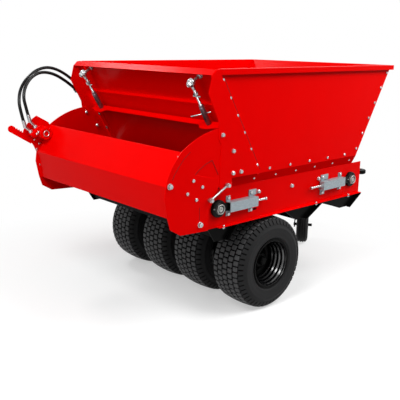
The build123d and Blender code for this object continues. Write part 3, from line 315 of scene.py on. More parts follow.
def rounded(bm, radius, segments=2, least=25):
    """Round the edges that turn by more than the least angle."""
    edges = [e for e in bm.edges if e.calc_face_angle(0) > math.radians(least)]
    return bevelled(bm, edges, radius, segments)


def chain(bm, profile, close):
    """Corners and edges through (x, radius) points in millimetres, ready to spin about the x axis."""
    corners = [bm.verts.new((x * MM, 0, r * MM)) for x, r in profile]
    runs = list(zip(corners, corners[1:]))
    if close:
        runs.append((corners[-1], corners[0]))
    return corners + [bm.edges.new(run) for run in runs]


def spun(profile, steps=64, close=True):
    """Solid of revolution about the x axis from (x, radius) points in millimetres."""
    bm = bmesh.new()
    bmesh.ops.spin(bm, geom=chain(bm, profile, close), cent=(0, 0, 0), axis=(1, 0, 0), dvec=(0, 0, 0),
                   angle=FULL_TURN, steps=steps, use_merge=True)
    bmesh.ops.remove_doubles(bm, verts=bm.verts, dist=0.002 * MM)
    bmesh.ops.recalc_face_normals(bm, faces=bm.faces)
    return bm


def mirrored(half):
    """Outline that goes on from its half, which ends in the middle, to the other side."""
    return half + [(-x, r) for x, r in half[-2::-1]]


def ring_of(bm, count):
    """Repeat a shape round the x axis."""
    shape = bm.verts[:] + bm.edges[:] + bm.faces[:]
    bmesh.ops.spin(bm, geom=shape, cent=(0, 0, 0), axis=(1, 0, 0), dvec=(0, 0, 0),
                   angle=FULL_TURN * (count - 1) / count, steps=count - 1, use_duplicate=True)
    return bm


def prism(sides, across, long, chamfer):
    """Nut, bolt head or washer along +x from the origin, across its flats, its outer corners turned off."""
    bm = bmesh.new()
    radius = across / 2 / math.cos(math.pi / sides) * MM
    bmesh.ops.create_cone(bm, cap_ends=True, segments=sides, radius1=radius, radius2=radius, depth=long * MM)
    moved(bm, shift(long / 2, 0, 0) @ Matrix.Rotation(math.pi / 2, 4, "Y"))
    outer = [e for e in bm.edges if all(v.co.x > 0.9 * long * MM for v in e.verts)]
    return bevelled(bm, outer, chamfer, 1)


def bar(radius, long, chamfer=0.8, sides=24):
    """Round bar along +x from the origin."""
    return prism(sides, 2 * radius, long, chamfer)


def slab(x, y, z, radius):
    """Box between two places on the drawing on each axis, with rounded edges."""
    low, high = at(x[0], y[0], z[0]), at(x[1], y[1], z[1])
    size = high - low
    bm = moved(cube(), Matrix.Translation((low + high) / 2) @ Matrix.Diagonal((*size, 1)))
    return rounded(bm, radius)


def plate(corners, thick):
    """Flat plate from its corners on the drawing, thickened by a vector in millimetres."""
    bm = bmesh.new()
    face = bm.faces.new([bm.verts.new(at(*corner)) for corner in corners])
    grown = bmesh.ops.extrude_face_region(bm, geom=[face])["geom"]
    far = [g for g in grown if isinstance(g, bmesh.types.BMVert)]
    bmesh.ops.translate(bm, verts=far, vec=Vector(thick) * MM)
    bmesh.ops.recalc_face_normals(bm, faces=bm.faces)
    return bm


def turn_of_thread(root, crest, pitch):
    """One turn of a screw thread."""
    bm = bmesh.new()
    profile = ((0, root), (pitch / 2, crest), (pitch, root))
    bmesh.ops.spin(bm, geom=chain(bm, profile, close=False), cent=(0, 0, 0), axis=(1, 0, 0),
                   dvec=(pitch * MM / THREAD_STEPS, 0, 0), angle=FULL_TURN, steps=THREAD_STEPS)
    return bm


def thread(root, crest, pitch, long):
    """Screw thread along +x from the origin."""
    turns = range(round(long / pitch))
    bm = joined(*[moved(turn_of_thread(root, crest, pitch), shift(pitch * k, 0, 0)) for k in turns])
    bmesh.ops.remove_doubles(bm, verts=bm.verts, dist=0.01 * MM)
    bmesh.ops.recalc_face_normals(bm, faces=bm.faces)
    return bm


# Tyres

WHEEL_STEPS = 96
WALL_MID, WALL_R, WALL_OUT, WALL_UP = 72, 182, 42, 62
# Angles round the wall's bulge, and how far the moulded rings stand out at some of them
WALL_ANGLES = (-62, -50, -40, -36, -34, -30, -28, -14, 0, 10, 12, 16, 18, 34, 52, 70)
WALL_RINGS = {-34: 1.6, -30: 1.6, 12: 1.0, 16: 1.0}
CROWN_X, CROWN_R, CROWN_DROP = 86, 246.5, 6
CARCASS_INSIDE = [(88, 131), (60, 200), (0, 215)]
GROOVE_PROUD, GROOVE_ANGLES = 0.5, (70, 62, 54, 46, 38)
LUG_COLUMNS, LUGS_ROUND = (-72, -36, 0, 36, 72), 50
LUG_WIDE, LUG_LONG, LUG_HIGH, LUG_PROUD = 28.5, 24, 10, 7.4
LUG_CORNER, LUG_EDGE = 4, 1.5
SHOULDER_FROM, SHOULDER_TO, SHOULDER_TAPER = 68, 34, 5
SHOULDER_HIGH, SHOULDER_FALL, SHOULDER_SUNK = 6.5, 2.5, 1.5


def sidewall(angle, lift=0.0):
    """Point (x, radius) on the tyre's sidewall, at an angle round its bulge and lifted off it."""
    turn = math.radians(angle)
    nx, nr = math.cos(turn) / WALL_OUT, math.sin(turn) / WALL_UP
    size = math.hypot(nx, nr)
    return (WALL_MID + WALL_OUT * math.cos(turn) + lift * nx / size,
            WALL_R + WALL_UP * math.sin(turn) + lift * nr / size)


def crown(x):
    """Radius of the tread's gentle crown at a place across it."""
    return CROWN_R - CROWN_DROP * (x / CROWN_X) ** 2


def carcass():
    """Tyre casing: bulged walls with moulded rings, under a crowned tread."""
    half = [sidewall(a, WALL_RINGS.get(a, 0)) for a in WALL_ANGLES] + [(x, crown(x)) for x in (66, 40, 0)]
    inside = [(-x, r) for x, r in CARCASS_INSIDE] + CARCASS_INSIDE[-2::-1]
    return spun(mirrored(half) + inside, WHEEL_STEPS)


def groove_shade_band():
    """Thin nearly black band over the crown and shoulders, which shows between the tread blocks as painted
    shade.
    """
    def half(lift):
        return [(x, crown(x) + lift) for x in (0, 40, 66)] + [sidewall(a, lift) for a in GROOVE_ANGLES]

    outer, inner = half(GROOVE_PROUD), half(-GROOVE_PROUD)
    right = outer + inner[::-1]
    return spun([(-x, r) for x, r in outer[:0:-1]] + right + [(-x, r) for x, r in inner[1:]], WHEEL_STEPS)


def lug(column):
    """One tread block on the crown."""
    bm = moved(cube(), Matrix.Diagonal((LUG_WIDE * MM, LUG_LONG * MM, LUG_HIGH * MM, 1)))
    uprights = [e for e in bm.edges if abs((e.verts[0].co - e.verts[1].co).z) > LUG_HIGH / 2 * MM]
    bevelled(bm, uprights, LUG_CORNER, 2)
    outer = [e for e in bm.edges if all(v.co.z > 0.4 * LUG_HIGH * MM for v in e.verts)]
    bevelled(bm, outer, LUG_EDGE, 1)
    slope = math.atan(2 * CROWN_DROP * column / CROWN_X ** 2)
    middle = crown(column) + LUG_PROUD - LUG_HIGH / 2
    return moved(bm, shift(column, 0, middle) @ Matrix.Rotation(slope, 4, "Y"))


def shoulder_lug(side):
    """Long tread block that wraps from the crown on to the wall, lower and narrower as it goes."""
    bm = cube()
    along = [e for e in bm.edges if abs(e.verts[0].co.x - e.verts[1].co.x) > 0.5]
    bmesh.ops.subdivide_edges(bm, edges=along, cuts=4, use_grid_fill=True)
    for v in bm.verts:
        share, up = v.co.x + 0.5, v.co.z + 0.5
        lift = (SHOULDER_HIGH - SHOULDER_FALL * share) * up - SHOULDER_SUNK
        x, r = sidewall(SHOULDER_FROM + (SHOULDER_TO - SHOULDER_FROM) * share, lift)
        v.co = (side * x * MM, v.co.y * (LUG_LONG - SHOULDER_TAPER * share) * MM, r * MM)
    bmesh.ops.recalc_face_normals(bm, faces=bm.faces)
    return bm


def tyre(name, centre):
    """Tyre in three pieces: carcass with shoulder lugs, tread blocks in a paler grey as painted light, and a
    dark band of painted shade between them.
    """
    wheel, hub = "wheel_" + name, Matrix.Translation(at(*centre))
    half_pitch = Matrix.Rotation(math.pi / LUGS_ROUND, 4, "X")
    shoulders = [ring_of(moved(shoulder_lug(side), half_pitch), LUGS_ROUND) for side in SIDES]
    casing = moved(joined(carcass(), *shoulders), hub)
    piece("carcass_" + name, casing, TYRE, wheel, "tyre_rubber", "tyre_" + name, smooth=40)
    lugs = []
    for k, column in enumerate(LUG_COLUMNS):
        turn = half_pitch if k % 2 else Matrix()
        lugs.append(ring_of(moved(lug(column), turn), LUGS_ROUND))
    # Tread blocks in a paler grey as painted light; the band under them is nearly black as painted shade
    piece("tread_" + name, moved(joined(*lugs), hub), LIT_TREAD, wheel, "tyre_rubber", smooth=40)
    piece("groove_shade_" + name, moved(groove_shade_band(), hub), SHADED_GROOVE, wheel, "tyre_rubber", smooth=40)


# Rims

RIM_LIP = [(102, 136), (104.5, 138), (107, 136.5), (107, 128), (104, 123.5)]
RIM_STEPS, RIM_STEP_IN, RIM_STEP_DOWN, RIM_STEP_RUN, RIM_DRAFT = 4, 14, 6, 8, 1
RIM_DISH = [(-4, 103), (-4, 96), (-9, 82), (-22, 74), (-22, 42), (24, 40), (30, 36), (30, 16), (-52, 16),
            (-52, 34), (-30, 36), (-30, 80), (-16, 90), (-12, 99), (-12, 104)]
RIM_BACK = [(-54, 111), (-62, 121), (-104, 123.5), (-107, 128), (-107, 136.5), (-104.5, 138), (-102, 136),
            (-102, 127), (-62, 126), (-52, 115.5), (52, 115.5), (62, 126), (102, 127)]
RIM_ROUND, LIP_ROUND, PRESSED_OVER = 1.6, 1.2, 18
STUDS, STUD_R, STUD_NUT_T, DISH_FACE, HUB_FACE, HUB_WASHER_T = 5, 60, 14, -22, 30, 3


def rim_barrel():
    """Rim's section: a barrel that steps in by cones, and the seats under the tyre."""
    x, r = RIM_LIP[-1]
    barrel = [(x, r)]
    for _ in range(RIM_STEPS):
        barrel.append((x - RIM_STEP_IN, r - RIM_DRAFT))
        barrel.append((x - RIM_STEP_IN - RIM_STEP_RUN, r - RIM_STEP_DOWN))
        x, r = barrel[-1]
    return barrel + RIM_BACK


def pressed(outline, radius):
    """Pressing spun from its outline, with its bends rounded."""
    return rounded(spun(outline, WHEEL_STEPS), radius, least=PRESSED_OVER)


def wheel_stud():
    """Wheel nut with the stud's end standing out of it."""
    hexagon = prism(sides=6, across=22, long=STUD_NUT_T, chamfer=2.5)
    end = moved(prism(sides=12, across=11, long=6, chamfer=1.5), shift(STUD_NUT_T - 1, 0, 0))
    return moved(joined(hexagon, end), shift(DISH_FACE, 0, STUD_R))


def wheel_rim(name, centre, side):
    """Pressed steel rim, and its deep dish with the lip, five wheel nuts and an axle nut."""
    wheel, place = "wheel_" + name, facing(centre, side)
    barrel = pressed(rim_barrel(), RIM_ROUND)
    lip = pressed(RIM_LIP + [RIM_BACK[-1]], LIP_ROUND)
    washer = prism(sides=24, across=58, long=HUB_WASHER_T, chamfer=1)
    axle_nut = prism(sides=6, across=42, long=17, chamfer=3)
    dish = joined(pressed(RIM_DISH, RIM_ROUND), lip, ring_of(wheel_stud(), STUDS),
                  moved(washer, shift(HUB_FACE, 0, 0)), moved(axle_nut, shift(HUB_FACE + HUB_WASHER_T, 0, 0)))
    piece("rim_press_" + name, moved(barrel, place), RIM_BLACK, wheel, "black_paint", "rim_" + name)
    piece("rim_dish_" + name, moved(dish, place), BLACK, wheel, "black_paint")


WHEELS = (("outer_right", 1, 1), ("inner_right", 1, -1), ("inner_left", -1, 1), ("outer_left", -1, -1))
for name, side, out in WHEELS:
    hub = (side * BOGIE_X + out * WHEEL_OFF, AXLE_Y, AXLE_Z)
    tyre(name, hub)
    wheel_rim(name, hub, out)


# Jockey wheel

JOCKEY_HUB, JOCKEY_TURN = (-57, 1291, 130), math.radians(36.9)
# Half outlines of its tyre and its rim
JOCKEY_TYRE = [(28, 62), (34, 66), (39, 80), (41, 96), (37, 113), (31, 122), (24, 126.5), (21, 127),
               (20, 123), (15, 123), (14, 128), (6, 129.5), (4, 126), (0, 126)]
JOCKEY_RIM = [(32, 10.5), (32, 20), (29, 22), (12, 25), (9, 30), (9, 46), (13, 51), (25, 54), (28, 57),
              (28, 62)]


def jockey_wheel():
    """Small steered wheel with a ribbed tyre on a pressed rim."""
    place = Matrix.Translation(at(*JOCKEY_HUB)) @ Matrix.Rotation(JOCKEY_TURN, 4, "Z")
    rubber = moved(spun(mirrored(JOCKEY_TYRE), 72), place)
    rim = [(-x, r) for x, r in JOCKEY_RIM] + JOCKEY_RIM[::-1]
    disc = moved(rounded(spun(rim), LIP_ROUND, least=PRESSED_OVER), place)
    piece("jockey_tread", rubber, TYRE, "jockey_wheel", "tyre_rubber", "jockey_tyre")
    piece("jockey_disc", disc, RIM_BLACK, "jockey_wheel", "black_paint", "jockey_rim")


jockey_wheel()


# Places on the hopper's leaning walls

DOWN_WALL = (0, math.sin(REAR_LEAN), -math.cos(REAR_LEAN))
OFF_WALL = (0, -math.cos(REAR_LEAN), -math.sin(REAR_LEAN))


def on_wall(s, off):
    """Point (y, z) at a distance down the rear wall and another off it."""
    y = REAR_TOP_Y + s * math.sin(REAR_LEAN) - off * math.cos(REAR_LEAN)
    z = RIM_Z - s * math.cos(REAR_LEAN) - off * math.sin(REAR_LEAN)
    return y, z


def front_face(z):
    """Place y of the front wall's face at a height."""
    return FRONT_TOP_Y - (RIM_Z - z) * math.tan(FRONT_LEAN)


# Lower front corners of the hopper

CORNER_OUTLINE, CORNER_T = [(535, 766), (567, 766), (541, 716), (541, 690), (535, 690)], 3


def hopper_corners():
    """Small plates that close the corners between the front apron and the skirts."""
    parts = []
    for side in SIDES:
        corners = [(side * x, front_face(z), z) for x, z in CORNER_OUTLINE]
        parts.append(plate(corners, (0, -CORNER_T, 0)))
    piece("hopper_corners", joined(*parts), RED, "chassis", "red_paint")


hopper_corners()


# Bolts

WASHER_T = 1.8
# Shares of a hexagon's width: its chamfer, the round face on a head, and a bolt's radius
HEAD_CHAMFER, HEAD_FACE, BOLT_SHARE = 0.09, 0.86, 0.3
HEAD_TURN = 0.7
WING_LAP, HOUSE_T, FOOT_T = 3, 5, 4
HOUSE_EDGE_Y = -100
LIP_X, LIP_Z, LIP_T, LIP_BOLT_YS = PANEL_X + 12, 522, 4, (-128, 612, 925)
FLANGE_TURN, FLANGE_BOLT_R = 57, 47
GUIDE_BOLT_X, GUIDE_BOLT_S, GUIDE_FACE = 550, (330, 430, 530), 52.5
RIVET_X, RIVET_Z, RIVET_YS, SKIRT_OUT = 558, 741, [-85 + 165 * k for k in range(7)], (0.887, -0.461)
COVER_SCREW_X = 575
# A cover screw: its place (y, z) and the way its head faces
COVER_SCREWS = [((-439, 909), (-0.836, 0.549)), ((-457, 882), (-0.836, 0.549)),
                ((-509, 707), (-0.988, -0.156))]
# A row along the hopper's side: its first and last place, and how many
REAR_ROW = ((-172, 1240), (80, 812), 6)
LOWER_ROW = ((179, 784), (834, 784), 5)
FRONT_ROW = ((1212, 1244), (947, 809), 6)
WING_BOLTS = [(-184, 988), (-110, 905), (-109, 797), (-54, 798)]
TILT_BOLTS = [(-499, 784), (-315, 575)]
MOTOR_BOLTS = [(-533, 855), (-504, 830), (-522, 798)]
PANEL_BOLT = (398, 655)
# A take-up's foot: its place along the machine, and the heights of its two bolts
TAKE_UP_FEET = ((-91, 581, 663), (71, 577, 667), (836, 581, 663), (669, 577, 667))


def spaced(first, last, count):
    """Evenly spaced places (y, z) from the first to the last."""
    return [Vector(first).lerp(Vector(last), k / (count - 1)) for k in range(count)]


def bearing_bolts():
    """Places of the four bolts of the brush bearing's square flange."""
    turns = [math.radians(FLANGE_TURN + 45 + 90 * k) for k in range(4)]
    return [(BRUSH_Y + FLANGE_BOLT_R * math.cos(a), BRUSH_Z + FLANGE_BOLT_R * math.sin(a)) for a in turns]


def bolt(across, high, turn, washer=0):
    """Hexagon head turned as it happened to stop, on a plain washer where it has one."""
    seat = WASHER_T if washer else 0
    head = moved(prism(6, across, high, across * HEAD_CHAMFER), Matrix.Rotation(turn, 4, "X"))
    face = moved(prism(sides=20, across=across * HEAD_FACE, long=0.5, chamfer=0.3), shift(high, 0, 0))
    whole = moved(joined(head, face), shift(seat, 0, 0))
    return joined(bar(washer, seat, 0.5), whole) if washer else whole


def nut(across, high, proud):
    """Hexagon nut with the bolt's end standing out of it."""
    end = moved(bar(across * BOLT_SHARE, proud), shift(high - 0.5, 0, 0))
    return joined(prism(6, across, high, across * HEAD_CHAMFER), end)


def plate_bolts(side):
    """Bolts through the side plates, seen from that side."""
    take_up_bolts = [(y, z) for y, low, high in TAKE_UP_FEET for z in (low, high)]
    # A row: the face it sits on, the head's width and height, the washer's radius or none, and the places
    rows = ((WALL_X + WING_LAP, 13, 5, 0, spaced(*REAR_ROW)),
            (WALL_X, 13, 5, 0, spaced(*LOWER_ROW)),
            (WALL_X, 13, 5, 0, spaced(*FRONT_ROW)),
            (WING_X, 17, 7, 10, WING_BOLTS),
            (HOUSE_X, 21, 11, 14, TILT_BOLTS),
            (HOUSE_X, 15, 6, 0, bearing_bolts()),
            (PANEL_X, 19, 8, 11, [PANEL_BOLT]),
            (PANEL_X + FOOT_T, 17, 8, 0, take_up_bolts))
    parts = []
    for x, across, high, washer, places in rows:
        for k, (y, z) in enumerate(places):
            head = bolt(across, high, HEAD_TURN * k, washer)
            parts.append(moved(head, toward((side * x, y, z), (side, 0, 0))))
    for y, z in WING_BOLTS:
        inside = HOUSE_X - HOUSE_T if y < HOUSE_EDGE_Y else HOUSE_X
        behind = nut(across=17, high=9, proud=5)
        parts.append(moved(behind, toward((side * inside, y, z), (-side, 0, 0))))
    return parts


def bolts():
    """All the bolt heads, nuts, rivets and cover screws of the chassis."""
    parts = []
    for y, z in MOTOR_BOLTS:
        parts.append(moved(bolt(across=15, high=6, turn=y), toward((MOTOR_X, y, z), (1, 0, 0))))
    for side in SIDES:
        parts += plate_bolts(side)
        for y in LIP_BOLT_YS:
            above, below = (side * LIP_X, y, LIP_Z + LIP_T), (side * LIP_X, y, LIP_Z)
            parts.append(moved(bolt(across=13, high=5, turn=y), toward(above, (0, 0, 1))))
            parts.append(moved(nut(across=13, high=7, proud=4), toward(below, (0, 0, -1))))
        for s in GUIDE_BOLT_S:
            place = (side * GUIDE_BOLT_X, *on_wall(s, GUIDE_FACE))
            parts.append(moved(bolt(across=17, high=8, turn=s), toward(place, OFF_WALL)))
        for y in RIVET_YS:
            out, down = SKIRT_OUT
            rivet = bar(radius=5.5, long=3, chamfer=1.6)
            parts.append(moved(rivet, toward((side * RIVET_X, y, RIVET_Z), (side * out, 0, down))))
        for (y, z), (ny, nz) in COVER_SCREWS:
            screw = bar(radius=5, long=3, chamfer=1.4)
            parts.append(moved(screw, toward((side * COVER_SCREW_X, y, z), (0, ny, nz))))
    piece("bolt_heads", joined(*parts), ZINC, "chassis", "zinc_plate", "panel_bolts", smooth=30)


bolts()


# Roller bearings and their take-ups

# Outlines round a roller's axis, from the middle of the machine
HOLDER_OUTLINE = [(545, 20), (545, 44), (557, 44), (561, 42.5), (563, 40), (563, 31), (561, 29.4),
                  (558, 29.4), (558, 20)]
INSERT_OUTLINE = [(556, 18), (556, 25.2), (574, 25.2), (576, 23.5), (576, 21.5), (575, 20.8), (562, 20.8),
                  (562, 18)]
SEAL_OUTLINE = [(557, 25.1), (557, 29.5), (560, 29.5), (561, 27.2), (560, 25.1)]
SHAFT_SEAL_OUTLINE = [(564, 13.5), (564, 20.9), (571.5, 20.9), (572.5, 17), (570, 13.5)]
# A take-up: its box's near and far end, and the tip of its screw
TAKE_UPS = ((-105, 95, 165), (850, 645, 555))
TONGUE_X, TONGUE_Z, TONGUE_OUT, TONGUE_IN = (549, 563), (603, 641), 38, 18
NIPPLE_X, NIPPLE_UP, NIPPLE_HEX = 560, 4, 4
SET_SCREW_X, SET_SCREW_R, SET_SCREW_TURNS = 568, 25.3, (0.6, 2.6)
ROD_X, ROD_Z, ROD_R = 563, 622, 5.2
# The rod's thread: its root, crest and pitch, where it starts, and the plain length at both ends
ROD_THREAD, THREAD_START, PLAIN_ENDS = (5.1, 6, 1.75), 10, 12
EAR_T, LOW_EAR_Z, HIGH_EAR_Z, EAR_BOLT_Z = 4.4, (565, 594), (650, 680), 662
# An ear: its start, the ends of the low and of the high one, and the bolt beside it
EARS = ((58, 85, 112, 131), (658, 694, 722, 634))
DRUM_R, DRUM_HALF, SHAFT_R, STEP_X, SHAFT_END_R, SHAFT_END_X = 51, 530, 17.4, 563, 13.4, 574


def grease_nipple():
    """Hexagon with the nipple's round end on it."""
    hexagon = bar(radius=3.4, long=NIPPLE_HEX, chamfer=0.5, sides=6)
    end = bar(radius=2.2, long=5, chamfer=1.5)
    return joined(hexagon, moved(end, shift(NIPPLE_HEX, 0, 0)))


def set_screws():
    """Two screws that lock the collar on the shaft."""
    lie_out = Matrix.Rotation(-math.pi / 2, 4, "Y")
    parts = []
    for turn in SET_SCREW_TURNS:
        place = Matrix.Rotation(turn, 4, "X") @ shift(SET_SCREW_X, 0, SET_SCREW_R)
        parts.append(moved(bar(radius=2.6, long=2.5, chamfer=0.4, sides=6), place @ lie_out))
    return joined(*parts)


def bearings():
    """Cast holders with their tongues, and the steel inserts with locking collars, nipples and seals."""
    cast, steel, seals = [], [], []
    for y, (near, _, _) in zip(ROLLER_YS, TAKE_UPS):
        sign = 1 if near > y else -1
        tongue_y = sorted((y + sign * TONGUE_OUT, near + sign * TONGUE_IN))
        for side in SIDES:
            place = facing((0, y, ROLLER_Z), side)
            cast.append(moved(spun(HOLDER_OUTLINE), place))
            cast.append(slab(sorted(side * x for x in TONGUE_X), tongue_y, TONGUE_Z, 2.5))
            steel.append(moved(rounded(spun(INSERT_OUTLINE), 0.5, segments=1, least=40), place))
            nipple_at = (side * NIPPLE_X, y - TONGUE_OUT, ROLLER_Z + NIPPLE_UP)
            steel.append(moved(grease_nipple(), toward(nipple_at, (side, 0, 0))))
            steel.append(moved(set_screws(), place))
            seals += [moved(spun(outline, 48), place) for outline in (SEAL_OUTLINE, SHAFT_SEAL_OUTLINE)]
    piece("bearing_castings", joined(*cast), CAST, "chassis", "black_casting", "bearing_holders")
    piece("bearing_inserts", joined(*steel), TURNED, "chassis", "black_casting")
    piece("bearing_seals", joined(*seals), RUBBER, "chassis", "black_rubber")


def take_up_lugs():
    """Wide ears at the far end of each take-up box, with the bolt that stands beside the upper one."""
    plates, heads = [], []
    for start, low_end, high_end, beside in EARS:
        for side in SIDES:
            faces = sorted((side * PANEL_X, side * (PANEL_X + EAR_T)))
            plates.append(slab(faces, (start, low_end), LOW_EAR_Z, 1))
            plates.append(slab(faces, (start, high_end), HIGH_EAR_Z, 1))
            bolt_at = (side * PANEL_X, beside, EAR_BOLT_Z)
            head = bolt(across=17, high=8, turn=start, washer=10)
            heads.append(moved(head, toward(bolt_at, (side, 0, 0))))
    piece("take_up_lugs", joined(*plates), GALVANISED, "chassis", "galvanised")
    piece("take_up_bolts", joined(*heads), ZINC, "chassis", "zinc_plate", smooth=30)


def take_up_screw(side, near, far, tip):
    """Threaded rod out of the box, with washer, nut and a turned tip."""
    sign = 1 if far > near else -1
    start = near + sign * TONGUE_IN

    def along(y):
        return toward((side * ROD_X, y, ROD_Z), (0, sign, 0))

    return [moved(bar(ROD_R, abs(tip - start)), along(start)),
            moved(thread(*ROD_THREAD, abs(tip - far) - PLAIN_ENDS), along(far + sign * THREAD_START)),
            moved(bar(radius=11, long=2, chamfer=0.4), along(far)),
            moved(prism(sides=6, across=19, long=8, chamfer=1.5), along(far + sign * 2)),
            moved(bar(radius=9, long=8, chamfer=1.2), along(tip))]


def take_up_screws():
    """The four take-up screws."""
    parts = []
    for near, far, tip in TAKE_UPS:
        for side in SIDES:
            parts += take_up_screw(side, near, far, tip)
    piece("take_up_screws", joined(*parts), ZINC, "chassis", "zinc_plate", "tension_rods", smooth=30)


def roller(name, y, left_end):
    """Turned drum with its shaft, stepped and centre-drilled at the end that shows."""
    left = [(-left_end, 0), (-left_end, SHAFT_R - 0.9), (1 - left_end, SHAFT_R), (-DRUM_HALF, SHAFT_R)]
    drum = [(-DRUM_HALF, DRUM_R - 1), (1 - DRUM_HALF, DRUM_R),
            (DRUM_HALF - 1, DRUM_R), (DRUM_HALF, DRUM_R - 1)]
    step = [(DRUM_HALF, SHAFT_R), (STEP_X, SHAFT_R), (STEP_X + 1, SHAFT_END_R)]
    end = [(SHAFT_END_X - 1, SHAFT_END_R), (SHAFT_END_X, SHAFT_END_R - 1)]
    hole = [(SHAFT_END_X, 5.5), (SHAFT_END_X - 3, 3), (STEP_X, 3), (STEP_X - 2, 0)]
    whole = spun(left + drum + step + end + hole, 72, close=False)
    moved(whole, Matrix.Translation(at(0, y, ROLLER_Z)))
    piece(name + "_drum", whole, TURNED, name, "roller_steel", name)


bearings()
take_up_lugs()
take_up_screws()
roller("drive_roller", ROLLER_YS[0], 600)
roller("idler_roller", ROLLER_YS[1], 571)


# Metering gate's screws

SCREW_X, SCREW_OFF, STUD_S = 463, 67, 38
STOP_NUT_S, CROSS_BAR_S, CROSS_BAR_HALF = 92, 112, 24
EYE_OUTLINE = [(56, 8), (56, 17), (59, 20), (63, 21), (71, 21), (75, 20), (78, 17), (78, 8)]
SLEEVE_OUTLINE = [(160, 7.2), (160, 10.5), (161, 11.5), (171, 11.5), (173, 13), (176, 13.5), (262, 13.5),
                  (265, 12.4), (269.7, 12.4), (269.7, 9), (274.3, 9), (274.3, 13), (279, 13), (280.3, 12),
                  (280.3, 9), (283, 8.4), (283, 7.2)]


def gate_screw(side):
    """Stud with nuts, and the eye screw that hangs on it with its stop nut and cross bar."""
    def out(off):
        return toward((side * SCREW_X, *on_wall(STUD_S, off)), OFF_WALL)

    def down(s):
        return toward((side * SCREW_X, *on_wall(s, SCREW_OFF)), DOWN_WALL)

    cross_bar_at = (side * SCREW_X - CROSS_BAR_HALF, *on_wall(CROSS_BAR_S, SCREW_OFF))
    # Washer and nut on the wall, the stud and its thread, and the end nut with its washer
    stud = [moved(bar(radius=16, long=3, chamfer=0.5), out(3)),
            moved(prism(sides=6, across=24, long=9, chamfer=1.8), out(6)),
            moved(bar(radius=7.4, long=82), out(3)),
            moved(thread(root=7.2, crest=8, pitch=2, long=12), out(80)),
            moved(prism(sides=6, across=24, long=11, chamfer=2), out(79)),
            moved(bar(radius=14, long=1.5, chamfer=0.4), out(78))]
    # Eye and its neck, the rod and its thread, the stop nut and the cross bar
    screw = [moved(rounded(spun(EYE_OUTLINE, 40), 0.8), out(0)),
             moved(bar(radius=9.5, long=16, chamfer=2), down(STUD_S + 17)),
             moved(bar(radius=6.1, long=172), down(STUD_S + 20)),
             moved(thread(root=6, crest=7, pitch=2, long=158), down(STUD_S + 33)),
             moved(prism(sides=6, across=22.5, long=11, chamfer=2), down(STOP_NUT_S)),
             moved(bar(radius=4, long=2 * CROSS_BAR_HALF, chamfer=1), toward(cross_bar_at, (1, 0, 0)))]
    return joined(*stud, *screw)


def gate_sleeve(name, side):
    """Adjusting sleeve on the eye screw, grooved where it turns in the gate's ledge."""
    place = toward((side * SCREW_X, *on_wall(0, SCREW_OFF)), DOWN_WALL)
    tube = moved(rounded(spun(SLEEVE_OUTLINE, 48), 0.4, segments=1, least=40), place)
    piece(name + "_tube", tube, DULL_ZINC, name, "zinc_plate", name)


gate_screws = joined(*[gate_screw(side) for side in SIDES])
piece("gate_eye_screws", gate_screws, ZINC, "chassis", "zinc_plate", "gate_screws", smooth=30)
gate_sleeve("sleeve_right", 1)
gate_sleeve("sleeve_left", -1)


# Routes of the hydraulic hoses, from the brush motor's ports to the conveyor motor

HOSE_R = 9
HOSE_INNER = [(-550, -580, 999), (-551, -591, 1046), (-560, -597, 1094), (-580, -576, 1146),
              (-600, -532, 1194), (-612, -476, 1223), (-620, -418, 1226), (-622, -358, 1210),
              (-620, -300, 1176), (-616, -256, 1143), (-619, -206, 1100), (-628, -164, 1030),
              (-639, -142, 940), (-645, -136, 850), (-647, -140, 770), (-647, -140, 692)]
HOSE_OUTER = [(-550, -610, 969), (-552, -621, 1018), (-566, -623, 1072), (-598, -596, 1134),
              (-632, -542, 1186), (-656, -476, 1228), (-670, -414, 1248), (-676, -358, 1249),
              (-677, -297, 1229), (-676, -226, 1185), (-672, -164, 1120), (-667, -142, 1030),
              (-661, -150, 930), (-652, -168, 842), (-647, -184, 762), (-647, -184, 692)]


# Brush motor and its hose ends

MOTOR_OUTLINE = [(0, 0), (0, 39), (9, 39), (12, 37), (13, 34.5), (27, 34.5), (28.5, 36), (46, 36),
                 (47.5, 34.5), (62, 34.5), (63, 36), (73, 36), (76, 33), (76, 22), (74.5, 21), (74.5, 0)]
MOTOR_RING = [(74, 13), (74, 19), (79, 19), (80, 18), (80, 14), (79, 13)]
MOTOR_END, CORNER_BOLT_R = 76, 28
PORT_BLOCK, PORT_BLOCK_IN, PORT_BLOCK_LONG = [(8, -10), (50, -10), (50, 66), (26, 66), (8, 30)], 6, 46
PORT_X, PORT_TURN, PORT_FACE = -550, math.radians(50.3), 50
PORT_OUT = (0, -math.cos(PORT_TURN), math.sin(PORT_TURN))
OUTER_PORT, INNER_PORT = 48, 10
COVER_BOLTS, COVER_BOLT_IN, COVER_BOLT_OUT = (22, 36), 24, 30
NUT_END, STEM_R, FERRULE_LONG = 64, 7, 38
FERRULE_OUTLINE = [(0, 7), (0, 9), (2, 10), (5, 10), (6, 11), (9, 11), (10, 10), (13, 10), (14, 11),
                   (18, 11), (19, 10), (22, 10), (23, 11), (28, 11), (29, 10), (32, 10), (33, 11),
                   (37, 11), (38, 10.2), (38, 7)]


def on_port(out, along):
    """Point (y, z) on the motor's port block: out from the shaft, then along the row of ports."""
    y = MOTOR_Y - out * math.cos(PORT_TURN) - along * math.sin(PORT_TURN)
    z = MOTOR_Z + out * math.sin(PORT_TURN) - along * math.cos(PORT_TURN)
    return y, z


